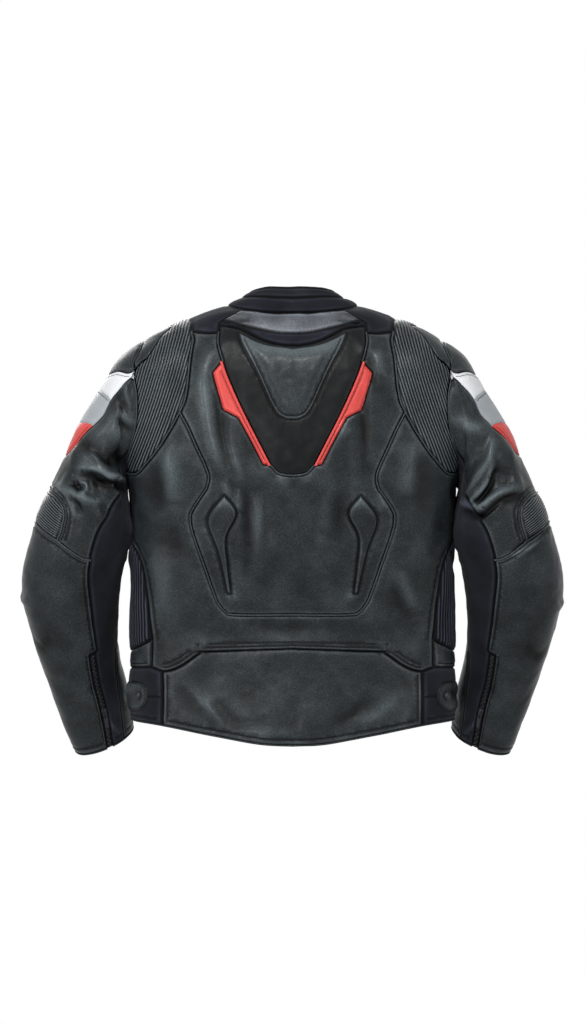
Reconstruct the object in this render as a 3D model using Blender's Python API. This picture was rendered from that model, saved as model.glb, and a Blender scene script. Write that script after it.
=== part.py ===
"""Leather motorcycle jacket, empty and filled out as on a standing figure.

The jacket's back faces +Y, its front faces -Y and the wearer's left arm is on +X. The origin lies
between the shoulders at the base of the neck. Tables hold millimetres and degrees.

Every cloth panel lies on one of three smooth skins: the torso, a sleeve or the collar. A skin turns
two coordinates into a point, and a panel is the area inside a loop of seams, given a wall inwards.
Panels that share a seam use the same points and directions along it, so the gap between them stays even.
"""

import math
from collections import namedtuple

import bmesh
import bpy
import numpy as np
from mathutils import Matrix, Vector
from mathutils.geometry import delaunay_2d_cdt

MM = 0.001

LEATHER_WALL = 1.6
STRETCH_WALL = 1.4
COLLAR_WALL = 2.4
SEAM_GAP = 0.3
LAY_GAP = 0.6
SEAM_STEP = 25.0
FIELD_STEP = 35.0
FINE_STEP = 12.0
HAIR = 1e-3

COLOURS = {
    "leather": ((0.030, 0.033, 0.034), 0.42, 0.0),
    "hump_leather": ((0.012, 0.013, 0.014), 0.34, 0.0),
    "stretch": ((0.012, 0.013, 0.020), 0.85, 0.0),
    "soft_band": ((0.008, 0.009, 0.014), 0.90, 0.0),
    "grey_leather": ((0.42, 0.46, 0.48), 0.45, 0.0),
    "neck_grey": ((0.085, 0.090, 0.105), 0.50, 0.0),
    "white_leather": ((0.85, 0.87, 0.90), 0.45, 0.0),
    "red_leather": ((0.85, 0.035, 0.028), 0.42, 0.0),
    "zip_tape": ((0.010, 0.010, 0.012), 0.80, 0.0),
    "zip_metal": ((0.060, 0.060, 0.065), 0.35, 0.9),
}

# Torso sections: height, half width, depth to the back, depth to the front, squareness of the oval.
TORSO = (
    (14.0, 76.0, 42.0, 34.0, 2.0),
    (6.0, 95.0, 51.0, 42.0, 2.0),
    (-6.0, 131.0, 61.0, 52.0, 2.1),
    (-20.0, 170.0, 71.0, 61.0, 2.2),
    (-32.0, 192.0, 79.0, 68.0, 2.3),
    (-48.0, 211.0, 88.0, 77.0, 2.5),
    (-66.0, 226.0, 96.0, 87.0, 2.7),
    (-88.0, 238.0, 104.0, 97.0, 2.85),
    (-115.0, 244.0, 111.0, 107.0, 2.9),
    (-150.0, 246.0, 118.0, 117.0, 2.9),
    (-200.0, 243.0, 124.0, 126.0, 2.85),
    (-235.0, 237.0, 126.0, 129.0, 2.7),
    (-250.0, 233.0, 126.5, 129.0, 2.65),
    (-300.0, 229.0, 125.0, 128.0, 2.5),
    (-380.0, 228.0, 117.0, 125.0, 2.4),
    (-450.0, 229.0, 107.0, 120.0, 2.4),
    (-520.0, 231.0, 106.0, 119.0, 2.4),
    (-620.0, 229.0, 119.0, 122.0, 2.4),
)
# Armhole, once round from the shoulder point over the back: clock angle on the torso, height.
ARMHOLE = (
    (84.0, -22.0),
    (78.0, -40.0),
    (74.5, -65.0),
    (76.0, -87.0),
    (72.0, -123.0),
    (71.0, -158.0),
    (73.0, -186.0),
    (78.0, -212.0),
    (84.0, -236.0),
    (90.0, -250.0),
    (100.0, -248.0),
    (109.0, -228.0),
    (114.0, -196.0),
    (116.0, -158.0),
    (117.0, -122.0),
    (117.0, -90.0),
    (113.0, -62.0),
    (102.0, -38.0),
)
# Sleeve ovals: outer x and z, inner x and z, middle y, half depth, tilt, outward bow of the middle.
SLEEVE = (
    (209.0, -41.5, 238.0, -256.0, 2.0, 71.0, 0.0, 16.0),
    (243.0, -66.0, 239.0, -266.0, 4.0, 71.0, 0.0, 6.0),
    (275.0, -116.0, 236.5, -281.0, 8.0, 69.0, 0.0, 3.0),
    (307.5, -170.0, 234.0, -297.0, 12.0, 68.0, 0.0, 0.0),
    (334.5, -235.0, 231.5, -313.0, 16.0, 68.0, 0.0, 0.0),
    (357.0, -281.0, 232.5, -329.0, 17.0, 67.0, 3.0, 0.0),
    (370.0, -323.0, 236.0, -345.0, 15.0, 66.0, 7.0, 0.0),
    (381.5, -366.0, 240.5, -366.0, 9.0, 64.0, 13.0, 0.0),
    (383.0, -400.0, 245.0, -390.0, 1.0, 61.0, 18.0, 0.0),
    (377.0, -434.0, 248.0, -419.0, -10.0, 57.5, 22.0, 0.0),
    (363.0, -483.0, 249.5, -454.0, -27.0, 52.5, 25.0, 0.0),
    (346.0, -534.0, 246.0, -497.0, -48.0, 47.0, 26.0, 0.0),
    (329.0, -582.0, 235.5, -542.0, -70.0, 42.0, 26.0, 0.0),
    (312.5, -627.0, 227.0, -595.0, -92.0, 38.0, 26.0, 0.0),
)
CUFF = float(len(SLEEVE))
# The largest folds: rise out of the cloth, or sink if negative, reach to each side, places of the crest.
SLEEVE_FOLDS = (
    (7.0, 14.0, ((124, 3.7), (98, 3.65), (66, 3.95), (46, 4.35))),
    (-6.0, 13.0, ((112, 4.6), (88, 4.45), (64, 4.75))),
    (5.0, 12.0, ((100, 5.3), (72, 5.05), (48, 4.95))),
    (6.0, 14.0, ((232, 5.2), (262, 5.0), (292, 5.3))),
    (-6.0, 14.0, ((238, 6.1), (264, 5.9), (290, 6.3))),
    (5.0, 14.0, ((240, 7.0), (266, 6.9), (288, 7.3))),
)
TORSO_FOLDS = (
    (4.0, 16.0, ((52, -62), (49, -100))),
    (-4.0, 17.0, ((18, -262), (15, -312))),
    (-4.0, 17.0, ((-18, -262), (-15, -312))),
    (4.0, 16.0, ((-52, -62), (-49, -100))),
    (-5.0, 18.0, ((60, -455), (44, -462))),
    (-5.0, 18.0, ((-60, -455), (-44, -462))),
    (6.0, 22.0, ((150, -300), (138, -345), (128, -380))),
    (6.0, 22.0, ((-150, -300), (-138, -345), (-128, -380))),
)

# Neckline, top edge and band seam of the collar by clock angle.
NECKLINE = ((0, -5), (30, -4), (60, 1), (78, 6), (90, 7), (103, 3), (130, -17), (155, -36), (180, -45))
COLLAR_TOP = ((0, 31), (40, 31), (62, 28), (90, 18), (135, 4), (180, -8))
BAND_SEAM = ((0, 0.57), (60, 0.64), (90, 0.70), (180, 0.62))
COLLAR_HALF_WIDTH, COLLAR_HALF_DEPTH, COLLAR_MIDDLE_Y, COLLAR_BULGE = 64.0, 62.0, -12.0, 3.0
# Hem height by clock angle.
HEM = ((0, -616), (20, -614), (48, -601), (71, -586), (90, -580), (110, -573), (140, -562), (180, -554))
ZIP_HALF = 7.0
ZIP_TOP_RISE, FRONT_SLIDER_RISE = 0.93, 0.74
CUFF_SLIDER_PLACE, CUFF_SLIDER_SCALE = (107.5, 12.95), 0.8
# Zip slider: width, narrow end, length, corner, heights above the tape, and the bridge over it.
SLIDER_WIDE, SLIDER_NARROW, SLIDER_LENGTH, SLIDER_CORNER = 9.0, 6.6, 13.0, 1.0
SLIDER_FLOAT, SLIDER_TOP = 0.4, 2.9
BRIDGE_HALF, BRIDGE_REACH, BRIDGE_LEG, BRIDGE_TOP, BRIDGE_CORNER, BRIDGE_ROOT = 1.0, 5.2, 1.2, 6.4, 1.3, 0.5
# Pull: plate, eye, bar, taper of its round end, hinge place along the slider and above it, rest angle.
PULL_THICK, PULL_WIDE, PULL_LENGTH, PULL_BAR, PULL_EYE_WIDE, PULL_EYE_LENGTH = 1.2, 7.0, 30.0, 1.2, 3.2, 8.8
PULL_TAPER, PULL_SEAT, PULL_HEIGHT, PULL_REST = 0.8, -2.8, 4.05, 3.0
# Waist tab: its round end on the back as width and height, its root's clock angle, its thickness.
TAB_END = ((225, -526), (213, -528), (205, -537), (203, -547), (205, -557), (213, -566), (225, -568))
TAB_ROOT_CLOCK, TAB_WALL = 113.0, 3.0
SNAP_PLACE, SNAP_RADIUS, SNAP_TOP_RADIUS, SNAP_HEIGHT = (216, -547), 6.2, 5.6, 3.0
# How much a step along X, Y and Z counts where an edge wall picks its diagonal.
DIAGONAL_RANK = (0.3, 0.1, 1.0)
# Turns round the armhole where seams meet it.
CUP_TURN, WHITE_TURN, INNER_TURN, INNER_FRONT_TURN = 60.0, 67.0, 130.0, 232.0
RIB_TIP_TURN, SIDE_BACK_TURN, SIDE_FRONT_TURN, SHOULDER_FRONT_TURN = 156.0, 186.0, 206.0, 346.0
ARMHOLE_JOINTS = (
    CUP_TURN, WHITE_TURN, INNER_TURN, RIB_TIP_TURN, SIDE_BACK_TURN, SIDE_FRONT_TURN,
    INNER_FRONT_TURN, 360 - WHITE_TURN, 360 - CUP_TURN, SHOULDER_FRONT_TURN,
)
# Clock angles of the neckline where the neck panel meets the yoke, and the yoke the front.
NECK_CORNER, NECK_FRONT = 58.0, 128.0


def along(table, at):
    """A smooth curve through rows of (place, value, ...), read at one place or at many."""
    rows = np.array(table, float)
    if rows[0, 0] > rows[-1, 0]:
        rows = rows[::-1]
    places, values = rows[:, 0], rows[:, 1:]
    at = np.clip(np.asarray(at, float), places[0], places[-1])
    slopes = np.gradient(values, places, axis=0)
    i = np.clip(np.searchsorted(places, at) - 1, 0, len(places) - 2)
    span = (places[i + 1] - places[i])[..., None]
    t = (at - places[i])[..., None] / span
    rise = (2 * t**3 - 3 * t**2 + 1) * values[i] + (3 * t**2 - 2 * t**3) * values[i + 1]
    return rise + span * ((t**3 - 2 * t**2 + t) * slopes[i] + (t**3 - t**2) * slopes[i + 1])


def blend(p0, p1, p2, p3, t):
    """The Catmull-Rom blend between p1 and p2."""
    return 0.5 * (
        2 * p1 + (p2 - p0) * t + (2 * p0 - 5 * p1 + 4 * p2 - p3) * t**2 + (3 * p1 - p0 - 3 * p2 + p3) * t**3
    )


def torso_point(clock, height):
    """A point of the torso skin: clock 0 is the centre back, 90 the left side and 180 the centre front."""
    turn = np.radians(np.asarray(clock, float))
    size = along(TORSO, height)
    wide, rear, front, square = (size[..., k] for k in range(4))
    deep = np.where(np.cos(turn) >= 0, rear, front)
    reach = (np.abs(np.cos(turn) / deep) ** square + np.abs(np.sin(turn) / wide) ** square) ** (-1 / square)
    return np.stack([reach * np.sin(turn), reach * np.cos(turn), height + 0 * reach], -1)


def on_back(x, z):
    """Clock angle and height of the back's point at width x and height z."""
    wide, rear, _, square = along(TORSO, z)
    y = rear * max(0.0, 1 - min(1.0, abs(x) / wide) ** square) ** (1 / square)
    return math.degrees(math.atan2(x, y)), z


def on_front(x, z):
    """Clock angle and height of the front's point at width x and height z."""
    wide, _, front, square = along(TORSO, z)
    y = front * max(0.0, 1 - min(1.0, abs(x) / wide) ** square) ** (1 / square)
    return math.degrees(math.atan2(x, -y)), z


def armhole_clock(turn):
    """Clock angle and height of the armhole at a turn round the sleeve, 0 on top and 90 at the rear."""
    rows = np.array(ARMHOLE, float)
    count = len(rows)
    place = np.mod(np.asarray(turn, float), 360.0) * count / 360.0
    i = np.floor(place).astype(int)
    t = (place - i)[..., None]
    return blend(rows[(i - 1) % count], rows[i % count], rows[(i + 1) % count], rows[(i + 2) % count], t)


def sleeve_ring(index, turn):
    """A point of one sleeve oval. Ring 0 is the armhole."""
    if index == 0:
        clock = armhole_clock(turn)
        return torso_point(clock[..., 0], clock[..., 1])
    outer_x, outer_z, inner_x, inner_z, middle_y, deep, tilt, bow = SLEEVE[index - 1]
    across, rear = np.cos(np.radians(turn)), np.sin(np.radians(turn))
    x = (outer_x + inner_x) / 2 + (outer_x - inner_x) / 2 * across + bow * rear**2
    y = middle_y + deep * math.cos(math.radians(tilt)) * rear
    z = (outer_z + inner_z) / 2 + (outer_z - inner_z) / 2 * across - deep * math.sin(math.radians(tilt)) * rear
    return np.stack([x, y, z], -1)


def sleeve_point(turn, ring):
    """A point of the left sleeve's skin: turn 0 is its outer edge, 90 its rear and 180 its inner edge."""
    turn, ring = np.broadcast_arrays(np.asarray(turn, float), np.asarray(ring, float))
    last = len(SLEEVE)
    rings = np.stack([sleeve_ring(index, turn) for index in range(last + 1)])
    i = np.clip(np.floor(ring).astype(int), 0, last - 1)
    t = (ring - i)[..., None]

    def pick(index):
        return np.take_along_axis(rings, np.clip(index, 0, last)[None, ..., None], 0)[0]

    p1, p2 = pick(i), pick(i + 1)
    p0 = np.where((i == 0)[..., None], 2 * p1 - p2, pick(i - 1))
    p3 = np.where((i == last - 1)[..., None], 2 * p2 - p1, pick(i + 2))
    return blend(p0, p1, p2, p3, t)


def either_side(clock):
    """The clock angle of the same place on the left half, from 0 at the centre back to 180 in front."""
    return 180 - np.abs(180 - np.abs(clock))


def collar_point(clock, rise):
    """A point of the collar's skin, from the neckline at rise 0 to the top edge at rise 1."""
    clock = np.asarray(clock, float)
    rise = np.asarray(rise, float)[..., None]
    turn = np.radians(clock)
    foot = torso_point(clock, along(NECKLINE, either_side(clock))[..., 0])
    top = np.stack(
        [
            COLLAR_HALF_WIDTH * np.sin(turn),
            COLLAR_MIDDLE_Y + COLLAR_HALF_DEPTH * np.cos(turn),
            along(COLLAR_TOP, either_side(clock))[..., 0],
        ],
        -1,
    )
    out = np.stack([np.sin(turn), np.cos(turn), 0 * turn], -1)
    return foot + (top - foot) * rise + out * COLLAR_BULGE * 4 * rise * (1 - rise)


# A skin's point function, the millimetres that one unit of each of its coordinates spans, and its folds.
Skin = namedtuple("Skin", "point scale folds")

# A point of a panel's edge: its place on the skin, its point in space and the way out of the cloth.
Rim = namedtuple("Rim", "place point out")


def way_out(skin, place):
    """The skin's outward unit normal at one place or at many."""
    u, v = np.moveaxis(np.asarray(place, float), -1, 0)
    step = 0.2 / np.array(skin.scale)
    du = skin.point(u + step[0], v) - skin.point(u - step[0], v)
    dv = skin.point(u, v + step[1]) - skin.point(u, v - step[1])
    out = np.cross(dv, du)
    return out / np.linalg.norm(out, axis=-1, keepdims=True)


def with_folds(plain, folds):
    """A skin on which each fold of the cloth rises, or sinks, along its crest."""

    def point(u, v):
        place = np.stack(np.broadcast_arrays(np.asarray(u, float), np.asarray(v, float)), -1)
        spot = place * plain.scale
        rise = np.zeros(spot.shape[:-1])
        for height, reach, crest in folds:
            run = np.array(crest) * plain.scale
            for a, b in zip(run[:-1], run[1:]):
                share = np.clip(((spot - a) @ (b - a)) / ((b - a) @ (b - a)), 0, 1)
                away = np.linalg.norm(spot - a - share[..., None] * (b - a), axis=-1)
                mound = height * np.exp(-((away / reach) ** 2))
                rise = np.where(np.abs(mound) > np.abs(rise), mound, rise)
        return plain.point(place[..., 0], place[..., 1]) + way_out(plain, place) * rise[..., None]

    return Skin(point, plain.scale, folds)


TORSO_PLAIN = Skin(torso_point, (3.1, 1.0), ())
SLEEVE_PLAIN = Skin(sleeve_point, (1.15, 44.0), ())
TORSO_SKIN = with_folds(TORSO_PLAIN, TORSO_FOLDS)
SLEEVE_SKIN = with_folds(SLEEVE_PLAIN, SLEEVE_FOLDS)
COLLAR_SKIN = Skin(collar_point, (1.2, 36.0), ())


def rims(skin, places):
    places = np.asarray(places, float)
    points = skin.point(places[:, 0], places[:, 1])
    return [Rim(tuple(p), q, n) for p, q, n in zip(places, points, way_out(skin, places))]


def seam(skin, controls, step=SEAM_STEP):
    """Rims along the smooth curve through a seam's few control places, both ends included."""
    controls = np.array(controls, float)
    scale = np.array(skin.scale)
    whole = np.vstack([2 * controls[0] - controls[1], controls, 2 * controls[-1] - controls[-2]])
    places = []
    for i in range(1, len(whole) - 2):
        count = max(1, round(np.linalg.norm((whole[i + 1] - whole[i]) * scale) / step))
        places += [blend(*whole[i - 1 : i + 3], k / count) for k in range(count)]
    return rims(skin, places + [controls[-1]])


def stations(first, last, step, joints):
    """Even stations from first to last that also stop at each joint, the same for all who share the seam."""
    low, high = min(first, last), max(first, last)
    ends = [j for j in joints if low < j < high]
    evens = [k * step for k in range(math.ceil(low / step), math.floor(high / step) + 1)]
    clear = [e for e in evens if min(abs(e - j) for j in [low, high, *joints]) > step / 3]
    places = sorted([low, high, *ends, *clear])
    return np.array(places if last > first else places[::-1])


def armhole_rims(first, last, on_sleeve):
    """The armhole seam's rims from one turn to another, placed on the sleeve's skin or on the torso's."""
    joints = [j + around for j in ARMHOLE_JOINTS for around in (-360, 0, 360)]
    turns = stations(first, last, 15, joints)
    clocks = armhole_clock(turns)
    points = torso_point(clocks[:, 0], clocks[:, 1])
    out = way_out(TORSO_PLAIN, clocks) + way_out(SLEEVE_PLAIN, np.stack([turns, 0 * turns + 0.02], -1))
    out /= np.linalg.norm(out, axis=-1, keepdims=True)
    places = [(t, 0.0) for t in turns] if on_sleeve else [tuple(c) for c in clocks]
    return [Rim(*row) for row in zip(places, points, out)]


def neck_rims(first, last, on_collar):
    """The neckline's rims from one clock angle to another."""
    joints = (0, NECK_CORNER, -NECK_CORNER, NECK_FRONT, -NECK_FRONT)
    clocks = stations(first, last, 10, joints)
    places = np.stack([clocks, along(NECKLINE, np.abs(clocks))[:, 0]], -1)
    points = torso_point(places[:, 0], places[:, 1])
    out = way_out(TORSO_PLAIN, places) + way_out(COLLAR_SKIN, np.stack([clocks, 0 * clocks + 0.02], -1))
    out /= np.linalg.norm(out, axis=-1, keepdims=True)
    if on_collar:
        places = np.stack([clocks, 0 * clocks], -1)
    return [Rim(tuple(p), q, n) for p, q, n in zip(places, points, out)]


def hem_place(clock):
    return clock, float(along(HEM, abs(clock))[0])


def hem_rims(first, last, step=8.0):
    count = max(1, round(abs(last - first) / step))
    return rims(TORSO_SKIN, [hem_place(clock) for clock in np.linspace(first, last, count + 1)])


def flipped(chain):
    """The same seam on the jacket's other half, run the other way."""
    other = np.array([-1.0, 1.0, 1.0])
    return [Rim((-r.place[0], r.place[1]), r.point * other, r.out * other) for r in reversed(chain)]


def back(chain):
    return list(reversed(chain))


def loop_of(*chains):
    """One closed loop from seams that follow each other, with each shared end point kept once."""
    rim_loop = []
    for chain in chains:
        for rim in chain:
            if not rim_loop or np.linalg.norm(rim.point - rim_loop[-1].point) > HAIR:
                rim_loop.append(rim)
    if np.linalg.norm(rim_loop[0].point - rim_loop[-1].point) < HAIR:
        rim_loop.pop()
    return rim_loop


def whole_loop(*half):
    """A loop across the centre line from the seams of its left half, which start and end on that line."""
    chain = loop_of(*half)
    return loop_of(chain, flipped(chain))


def inside(points, outline):
    """Which points lie inside a closed outline."""
    x, y = points[:, 0:1], points[:, 1:2]
    ends = np.roll(outline, -1, axis=0)
    rise = ends[:, 1] - outline[:, 1]
    rise[rise == 0] = HAIR**2
    crossing = ((outline[:, 1] > y) != (ends[:, 1] > y)) & (
        x < outline[:, 0] + (y - outline[:, 1]) * (ends[:, 0] - outline[:, 0]) / rise
    )
    return crossing.sum(1) % 2 == 1


def edge_distance(points, outline):
    """Each point's distance to a closed outline."""
    run = np.roll(outline, -1, axis=0) - outline
    offset = points[:, None, :] - outline[None]
    share = np.clip((offset * run).sum(-1) / np.maximum((run**2).sum(-1), HAIR**2), 0, 1)
    return np.linalg.norm(offset - share[..., None] * run, axis=-1).min(1)


def field(outline, step, crests=()):
    """An even spread of places inside an outline, clear of its edge, with more on each fold's crest."""
    low, high = outline.min(0), outline.max(0)
    rows = np.arange(low[1] + step / 2, high[1], step * 0.87)
    spots = [
        (x, y)
        for k, y in enumerate(rows)
        for x in np.arange(low[0] + step / 2 * (k % 2), high[0], step)
    ]
    spots = np.array(spots or [(0.0, 0.0)])
    for crest in crests:
        count = max(2, round(np.linalg.norm(np.diff(crest, axis=0), axis=1).sum() / (0.7 * step)))
        share = np.linspace(0, len(crest) - 1, count + 1)
        line = np.stack([np.interp(share, range(len(crest)), crest[:, k]) for k in range(2)], -1)
        clear = np.linalg.norm(spots[:, None] - line[None], axis=-1).min(1) > 0.55 * step
        spots = np.vstack([spots[clear], line])
    spots = spots[inside(spots, outline)]
    if len(spots):
        spots = spots[edge_distance(spots, outline) > 0.5 * step]
    return spots


def edge_shift(loop):
    """How far each rim moves into its panel, so that half the seam gap stays free along both its edges."""
    points = np.array([r.point for r in loop])
    out = np.array([r.out for r in loop])
    run = np.roll(points, -1, axis=0) - points
    ahead = np.cross(run, out)
    ahead /= np.linalg.norm(ahead, axis=1, keepdims=True)
    behind = np.cross(points - np.roll(points, 1, axis=0), out)
    behind /= np.linalg.norm(behind, axis=1, keepdims=True)
    both = np.maximum(1 + (ahead * behind).sum(1, keepdims=True), 0.3)
    return (ahead + behind) / both * SEAM_GAP / 2


def new_object(name, mesh, material):
    """An object of the jacket's collection with a material of its own colour."""
    colour, roughness, metallic = COLOURS[material]
    surface = bpy.data.materials.new(f"{name}_{material}")
    surface.use_nodes = True
    shader = surface.node_tree.nodes["Principled BSDF"]
    shader.inputs["Base Color"].default_value = (*colour, 1.0)
    shader.inputs["Roughness"].default_value = roughness
    shader.inputs["Metallic"].default_value = metallic
    mesh.materials.append(surface)
    made = bpy.data.objects.new(name, mesh)
    bpy.data.collections["leather_motorcycle_jacket"].objects.link(made)
    return made


def walled(name, triangles, outer, inner, material):
    """A closed wall between an outer and an inner copy of the same triangles."""
    mesh = bpy.data.meshes.new(name)
    bm = bmesh.new()
    source = bm.verts.layers.int.new("source")
    for i, point in enumerate(outer):
        bm.verts.new(Vector(point) * MM)[source] = i
    bm.verts.ensure_lookup_table()
    for corners in triangles:
        bm.faces.new([bm.verts[i] for i in corners])
    grown = bmesh.ops.extrude_face_region(bm, geom=bm.faces[:], use_keep_orig=True)
    lining = {item for item in grown["geom"] if isinstance(item, bmesh.types.BMVert)}
    for vertex in lining:
        vertex.co = Vector(inner[vertex[source]]) * MM
    # Every edge wall folds along the diagonal that its neighbour across the seam folds along.
    worth = np.column_stack([np.abs(outer[:, 0]), outer[:, 1:]]) @ DIAGONAL_RANK
    rank = {v: worth[v[source]] for v in bm.verts}
    for face in [f for f in bm.faces if len(f.verts) == 4]:
        shown = min((v for v in face.verts if v not in lining), key=rank.get)
        hidden = max((v for v in face.verts if v in lining), key=rank.get)
        bmesh.utils.face_split(face, shown, hidden)
    bmesh.ops.recalc_face_normals(bm, faces=bm.faces[:])
    bm.to_mesh(mesh)
    bm.free()
    mesh.shade_smooth()
    mesh.set_sharp_from_angle(angle=math.radians(40))
    return new_object(name, mesh, material)


def panel(name, skin, loop, material, wall=LEATHER_WALL, step=FIELD_STEP, lift=0.0, dome=None, twin=False):
    """A panel inside a loop of rims. A lifted one lies on the cloth, and a dome is (rise, reach)."""
    outline = np.array([r.place for r in loop]) * skin.scale
    if ((outline * np.roll(outline, -1, axis=0)[:, ::-1]) @ (1, -1)).sum() < 0:
        loop = back(loop)
        outline = outline[::-1]
    spots = field(outline, step, [np.array(crest) * skin.scale for _, _, crest in skin.folds])
    flat = [Vector(p) for p in outline] + [Vector(p) for p in spots]
    cut = delaunay_2d_cdt(flat, [], [list(range(len(outline)))], 1, HAIR, True)
    order = [ids[0] for ids in cut[3]]
    corners = np.array([[order[i] for i in face] for face in cut[2]])
    middles = np.array(flat)[corners].mean(1)
    triangles = corners[inside(middles, outline)].tolist()
    points = np.array([r.point for r in loop]) + edge_shift(loop)
    out = np.array([r.out for r in loop])
    if len(spots):
        places = spots / skin.scale
        points = np.vstack([points, skin.point(places[:, 0], places[:, 1])])
        out = np.vstack([out, way_out(skin, places)])
    height = np.full(len(points), lift + wall if lift else 0.0)
    if dome:
        share = np.minimum(edge_distance(spots, outline) / dome[1], 1)
        height[len(loop):] += dome[0] * (1 - (1 - share) ** 2)
    outer = points + out * height[:, None]
    inner = points + out * (lift or -wall)
    walled(name + ("_left" if twin else ""), triangles, outer, inner, material)
    if twin:
        other = np.array([-1.0, 1.0, 1.0])
        walled(name + "_right", [t[::-1] for t in triangles], outer * other, inner * other, material)


def sleeve_half(controls):
    """A seam over the sleeve's outer edge, from its controls at the rear, ending on the edge."""
    ahead = [(-turn, ring) for turn, ring in reversed(controls)]
    if controls[-1][0] == 0:
        ahead = ahead[1:]
    return list(controls) + ahead


# Torso seams on the back, left half: width, height.
HUMP_TOP = ((103, -23), (75, -27.5), (40, -44.5), (14, -51), (0, -51.5))
NECK_LOW = ((101.5, -16.5), (56, -26.5), (24, -33), (0, -34.5))
YOKE_INNER = ((101.5, -16.5), (103, -23), (104, -33))
YOKE_EDGE = ((142, -32), (144, -22), (145.5, -14.5))
HUMP_EDGE = ((104, -33), (98, -75), (71, -142), (31, -221))
HUMP_FOOT = ((31, -221), (19, -233), (0, -236))
FLASH_BLOCK = ((98, -75), (111, -91), (97, -143), (76, -154))
FLASH_STRIP = ((76, -154), (58, -187), (41, -220))
ACCORDION_INNER = ((142, -32), (141, -50), (146, -88), (151, -126), (159, -147))
ACCORDION_LOW = ((159, -147), (175, -175), (191, -200), (207, -219), (221, -233))
PROTECTOR = ((159, -147), (147, -169), (136, -194), (123, -222), (118, -239), (121, -254))
PROTECTOR_STEP = ((121, -254), (141, -284), (144, -297), (140, -318), (118, -382), (106, -414))
PROTECTOR_FOOT = ((106, -414), (95, -427), (78, -432), (0, -432))
LOWER_TOP = ((184, -512), (171, -510), (154, -502), (131, -486), (118, -483.5), (0, -480))
BLADE = ((96, -263), (120, -297), (105, -345), (92, -402), (85, -403), (90, -360), (92, -323), (78, -289))
HUMP_PAD = ((0, -56), (40, -49.5), (77, -32), (52, -88), (26, -143), (12, -156), (0, -158))
# Torso seams by clock angle and height, left side.
YOKE_OUTER = ((90, -11.5), (103, -22))
YOKE_FRONT = ((116, -24), (103, -22))
SIDE_BACK = ((90, -282), (88.5, -312), (77, -352), (74, -401), (73, -445), (72.5, -467))
SIDE_BACK_LOW = ((72.5, -467), (72.5, -506))
RIB_FOOT = ((72.5, -467), (79, -477), (90, -484), (106, -489))
LEATHER_FOOT = ((72.5, -506), (90, -508), (106, -512))
SIDE_FRONT = ((105.5, -285), (106, -400), (106, -489))
SIDE_FRONT_LOW = ((106, -489), (106, -512))
# Sleeve seams: turn round the sleeve, ring along it.
CUP_SEAM = ((CUP_TURN, 0), (54, 0.8), (47, 1.1), (38, 1.04), (26, 1.0), (10.5, 1.05), (0, 1.05))
CUP_LOW = ((CUP_TURN, 0), (56, 1.1), (47, 1.75), (25, 2.35), (0, 2.6))
WHITE_LOW = ((WHITE_TURN, 0), (60, 1.15), (59, 1.85), (54, 2.53))
WHITE_GREY = ((54, 2.53), (27, 2.85), (0, 2.95))
GREY_LOW = ((54, 2.53), (55.5, 2.95), (48, 3.48))
GREY_RED = ((48, 3.48), (17.5, 3.78), (0, 3.85))
RED_LOW = ((48, 3.48), (35.5, 4.0), (21, 4.42), (0, 4.55))
ELBOW_TOP = ((62, 6.8), (64, 6.3), (59, 5.75), (42, 5.52), (20, 5.5), (0, 5.5))
ELBOW_FOOT = ((62, 6.8), (32, 6.6), (0, 6.45))
ELBOW_REAR = ((107.5, 7.3), (96, 7.25), (62, 6.8))
ELBOW_AHEAD = ((-62, 6.8), (-78, 6.9))
INNER_UPPER = ((INNER_TURN, 0), (127, 2), (123, 4.15), (110, 5.75), (106.5, 7.0), (107.5, 7.3))
INNER_LOWER = ((107.5, 7.3), (109, 7.9), (116, 9.3), (121, 11.1))
FRONT_SEAM_UPPER = ((-48, 3.48), (-60, 4.6), (-74, 5.8), (-78, 6.9))
FRONT_SEAM_LOWER = ((-78, 6.9), (-72, 9.5), (-67, 12), (-66, CUFF))
ZIP_OUTER = ((108, 11.15), (106.5, 11.7), (103, 12.9), (98, CUFF))
ZIP_INNER = ((117, 11.12), (116, 11.7), (113, 12.9), (109, CUFF))
GUSSET = ((160, 11.5), (150, 12.3), (141, 13.1), (135, CUFF))
INNER_FRONT = ((INNER_FRONT_TURN, 0), (234, 4), (238, 8), (236, 11.5))
GUSSET_TOP = ((160, 11.5), (200, 11.4), (236, 11.5))
INSERT_TOP = ((121, 11.1), (117, 11.12), (108, 11.15))


def back_seam(controls, step=SEAM_STEP):
    return seam(TORSO_SKIN, [on_back(x, z) for x, z in controls], step)


def side_seam(controls):
    return seam(TORSO_SKIN, controls)


def arm_seam(controls, step=SEAM_STEP):
    return seam(SLEEVE_SKIN, controls, step)


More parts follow.
